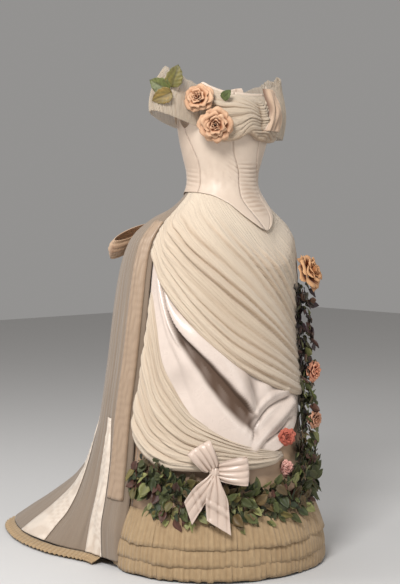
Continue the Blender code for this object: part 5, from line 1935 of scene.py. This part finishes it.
# The darker inner colour of the peach roses, partly painted shade deep inside them.
PEACH_DEEP = (0.36, 0.12, 0.035)
CREAM_ROSE = (0.76, 0.51, 0.33)
ROSES = (
    Rose(
        "bust_rose_upper", bodice_point, -63, 1.266, 0.037, 16, 4,
        "rose_petal", CREAM_ROSE, (0.40, 0.14, 0.05), 101,
    ),
    Rose(
        "bust_rose_lower", bodice_point, -48, 1.197, 0.042, -8, 4,
        "rose_petal", CREAM_ROSE, (0.34, 0.11, 0.04), 102,
    ),
    Rose(
        "side_rose_large", skirt_point, 52, 0.795, 0.048, 24, -24,
        "rose_petal", PEACH, PEACH_DEEP, 103,
    ),
    Rose(
        "side_rose_small", skirt_point, 48, 0.520, 0.026, 0, -30,
        "bud_petal", (0.80, 0.42, 0.26), (0.50, 0.14, 0.08), 104,
    ),
    Rose(
        "side_flower_peach", skirt_point, 42, 0.388, 0.024, -10, -30,
        "rose_petal", (0.80, 0.46, 0.32), PEACH_DEEP, 105,
    ),
    Rose(
        "side_flower_red", skirt_point, 8, 0.362, 0.022, 0, -30,
        "bud_petal", (0.58, 0.17, 0.11), (0.34, 0.06, 0.04), 106,
    ),
    Rose(
        "side_bud_pink", skirt_point, 8, 0.276, 0.019, 0, -20,
        "bud_petal", (0.82, 0.50, 0.42), (0.60, 0.22, 0.18), 107,
    ),
)
GARLANDS = (
    Garland(
        "hem_garland_right",
        "leaf_cloth",
        ((-97, 0.300, 0.006), (-78, 0.236, 0.006), (-61, 0.206, 0.006)),
        170, 0.056, 0.043, Greens.GARDEN, 201,
    ),
    Garland(
        "hem_garland_front",
        "leaf_cloth",
        ((-61, 0.206, 0.006), (-42, 0.196, 0.006), (-19, 0.194, 0.006)),
        160, 0.050, 0.041, Greens.GARDEN, 202,
    ),
    Garland(
        "hem_garland_left",
        "leaf_cloth",
        ((-19, 0.194, 0.006), (6, 0.202, 0.006), (39, 0.226, 0.006)),
        200, 0.052, 0.041, Greens.GARDEN, 203,
    ),
    Garland(
        "hem_garland_far",
        "leaf_cloth",
        ((39, 0.227, 0.006), (66, 0.240, 0.006), (93, 0.264, 0.006)),
        160, 0.052, 0.043, Greens.GARDEN, 204,
    ),
    Garland(
        "side_garland_upper",
        "leaf_dark",
        ((49, 0.765, 0.014), (47, 0.640, 0.014), (47, 0.530, 0.014)),
        190, 0.040, 0.040, Greens.PLUM, 205, 0.50, 0.040,
    ),
    Garland(
        "side_garland_lower",
        "leaf_autumn",
        ((47, 0.530, 0.012), (46, 0.455, 0.004), (42, 0.385, 0.003), (30, 0.310, 0.004), (20, 0.236, 0.006)),
        210, 0.044, 0.043, Greens.MIXED, 206, 0.48, 0.036,
    ),
)
BUST_LEAVES = (
    BustLeaf("bust_leaf_top", -16, 6, 0.060, "leaf_autumn", (0.125, 0.115, 0.022)),
    BustLeaf("bust_leaf_outer", 62, 2, 0.058, "leaf_cloth", (0.105, 0.125, 0.028)),
    BustLeaf("bust_leaf_low", 112, 0, 0.056, "leaf_autumn", (0.180, 0.130, 0.030)),
    BustLeaf("bust_leaf_inner", -46, 30, 0.034, "leaf_cloth", (0.110, 0.150, 0.050)),
)
FRONT_BOW = Bow(
    "front_bow",
    -42,
    0.292,
    0,
    (0.013, 0.016, 0.010),
    "satin_bow",
    "satin_ivory",
    (
        Ribbon("front_bow_loop_right", 0.076, 0.070, 122, 0.0, 0.017),
        Ribbon("front_bow_loop_left", 0.082, 0.074, 2, 0.0, 0.017),
    ),
    (
        Ribbon("front_bow_tail_right", 0.118, 0.050, -124, 0.002, lean=0.009),
        Ribbon("front_bow_tail_left", 0.136, 0.060, -86, 0.004, lean=0.010),
    ),
)
BACK_BOW = Bow(
    "back_bow",
    180,
    0.912,
    -38,
    (0.018, 0.026, 0.012),
    "satin_peach",
    "satin_peach",
    (
        Ribbon("back_bow_loop_left", 0.155, 0.080, 200, 0.018, 0.020, -15),
        Ribbon("back_bow_loop_right", 0.155, 0.080, -20, 0.018, 0.020, 15),
    ),
    (),
)


UNDERSKIRT = ("underskirt_front", "underskirt_side_left", "underskirt_side_right", "underskirt_back")
BODICE = ("bodice_front_left", "bodice_front_right")
CUTS = {
    "underskirt_front": Cut(0.44, 1.03, 0.72, Held.HUNG, BODICE),
    "underskirt_side_left": Cut(0.38, 1.03, 0.68, Held.HUNG, ("bodice_side_left",)),
    "underskirt_side_right": Cut(0.34, 1.03, 0.66, Held.HUNG, ("bodice_side_right",)),
    "underskirt_back": Cut(0.86, 1.03, 0.70, Held.HUNG, ("bodice_back_left", "bodice_back_right")),
    "flounce_1": Cut(2.50, 0.090, 1.0, Held.GATHERED, UNDERSKIRT),
    "flounce_2": Cut(2.50, 0.090, 1.0, Held.GATHERED, UNDERSKIRT),
    "flounce_3": Cut(2.40, 0.076, 1.0, Held.GATHERED, UNDERSKIRT),
    "satin_apron": Cut(0.82, 0.74, 0.74, Held.DRAPED, UNDERSKIRT[:3]),
    "tulle_apron": Cut(0.90, 0.74, 0.74, Held.DRAPED, ("satin_apron",)),
    "tulle_swag": Cut(0.62, 0.36, 0.72, Held.DRAPED, ("satin_apron", "underskirt_side_right")),
    "train_left": Cut(0.42, 1.18, 0.72, Held.HUNG, ("underskirt_back", "bodice_back_left")),
    "train_right": Cut(0.42, 1.18, 0.72, Held.HUNG, ("underskirt_back", "bodice_back_right")),
    "train_back": Cut(0.52, 1.25, 0.76, Held.HUNG, ("underskirt_back", "bodice_back_left")),
    "train_edge_band_left": Cut(0.055, 0.80, 1.0, Held.STRETCHED, ("train_left",)),
    "train_edge_band_right": Cut(0.055, 0.80, 1.0, Held.STRETCHED, ("train_right",)),
    "train_streamer_front_left": Cut(0.060, 0.46, 1.0, Held.STRETCHED, ("train_left",)),
    "train_streamer_front_right": Cut(0.060, 0.46, 1.0, Held.STRETCHED, ("train_right",)),
    "train_streamer_back_left": Cut(0.095, 0.52, 1.0, Held.STRETCHED, ("train_left",)),
    "train_streamer_back_right": Cut(0.095, 0.52, 1.0, Held.STRETCHED, ("train_right",)),
    "train_frill": Cut(1.90, 0.035, 1.0, Held.GATHERED, ("train_back", "train_left", "train_right")),
    "bodice_shirred_strip": Cut(0.11, 0.38, 0.86, Held.GATHERED, BODICE),
    "bodice_front_left": Cut(0.17, 0.31, 0.80, Held.STRETCHED, ("bodice_side_left",)),
    "bodice_front_right": Cut(0.17, 0.31, 0.80, Held.STRETCHED, ("bodice_side_right",)),
    "bodice_side_left": Cut(0.11, 0.21, 0.88, Held.STRETCHED, ("bodice_back_left",)),
    "bodice_side_right": Cut(0.11, 0.21, 0.88, Held.STRETCHED, ("bodice_back_right",)),
    "bodice_back_left": Cut(0.14, 0.31, 0.85, Held.STRETCHED, ("bodice_side_left",)),
    "bodice_back_right": Cut(0.14, 0.31, 0.85, Held.STRETCHED, ("bodice_side_right",)),
    "bertha_front": Cut(0.42, 0.17, 0.90, Held.DRAPED, BODICE),
    "bertha_back": Cut(0.28, 0.12, 1.0, Held.DRAPED, ("bodice_back_left", "bodice_back_right")),
    "sleeve_right": Cut(0.46, 0.11, 0.90, Held.GATHERED, ("bodice_front_right", "bodice_back_right")),
    "sleeve_left": Cut(0.44, 0.13, 0.90, Held.GATHERED, ("bodice_front_left", "bodice_back_left")),
    "shoulder_folds_left": Cut(0.15, 0.12, 1.0, Held.FOLDED, ("bertha_front",)),
    "front_bow_loop_left": Cut(0.074, 0.17, 1.0, Held.FOLDED, ("front_bow_knot",)),
    "front_bow_loop_right": Cut(0.070, 0.16, 1.0, Held.FOLDED, ("front_bow_knot",)),
    "front_bow_tail_left": Cut(0.060, 0.15, 0.92, Held.HUNG, ("front_bow_knot",)),
    "front_bow_tail_right": Cut(0.050, 0.14, 0.92, Held.HUNG, ("front_bow_knot",)),
    "back_bow_loop_left": Cut(0.080, 0.31, 1.0, Held.FOLDED, ("back_bow_knot",)),
    "back_bow_loop_right": Cut(0.080, 0.31, 1.0, Held.FOLDED, ("back_bow_knot",)),
}


def flatten(made: object) -> list[bpy.types.Object]:
    """The pieces that a build returned, as a list."""
    return list(made) if isinstance(made, (list, tuple)) else [made]


def main() -> None:
    """Builds the gown piece by piece and reports each."""
    logging.basicConfig(level=logging.INFO, format="%(message)s")
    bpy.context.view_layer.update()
    train = Train()
    builds = [
        Underskirt().build,
        Flounces().build,
        SatinApron().build,
        TulleApron().build,
        TulleSwag().build,
        train.breadths,
        train.bands,
        train.frill,
        Bodice().build,
        Bertha().build,
        Sleeve("sleeve_right", -1, 0.136, 0.078, 1.232, 1.190, 1.346).build,
        Sleeve("sleeve_left", 1, 0.106, 0.088, 1.165, 1.175, 1.340).build,
        ShoulderPleats().build,
        *(garland.build for garland in GARLANDS),
        *(rose.build for rose in ROSES),
        *(leaf.build for leaf in BUST_LEAVES),
        FRONT_BOW.build,
        BACK_BOW.build,
    ]
    for build in builds:
        for piece in flatten(build()):
            area = sum(face.area for face in piece.data.polygons) / 2
            LOG.info("%s: %d faces, %.4f square metres", piece.name, len(piece.data.polygons), area)
            cut = CUTS.get(piece.name.removeprefix("dressed_"))
            if cut is not None:
                cut.declare(piece)
                LOG.info("%s: cut %.4f square metres", piece.name, cut.width * cut.length * cut.share)
    Studio().build()


if __name__ == "__main__":
    main()
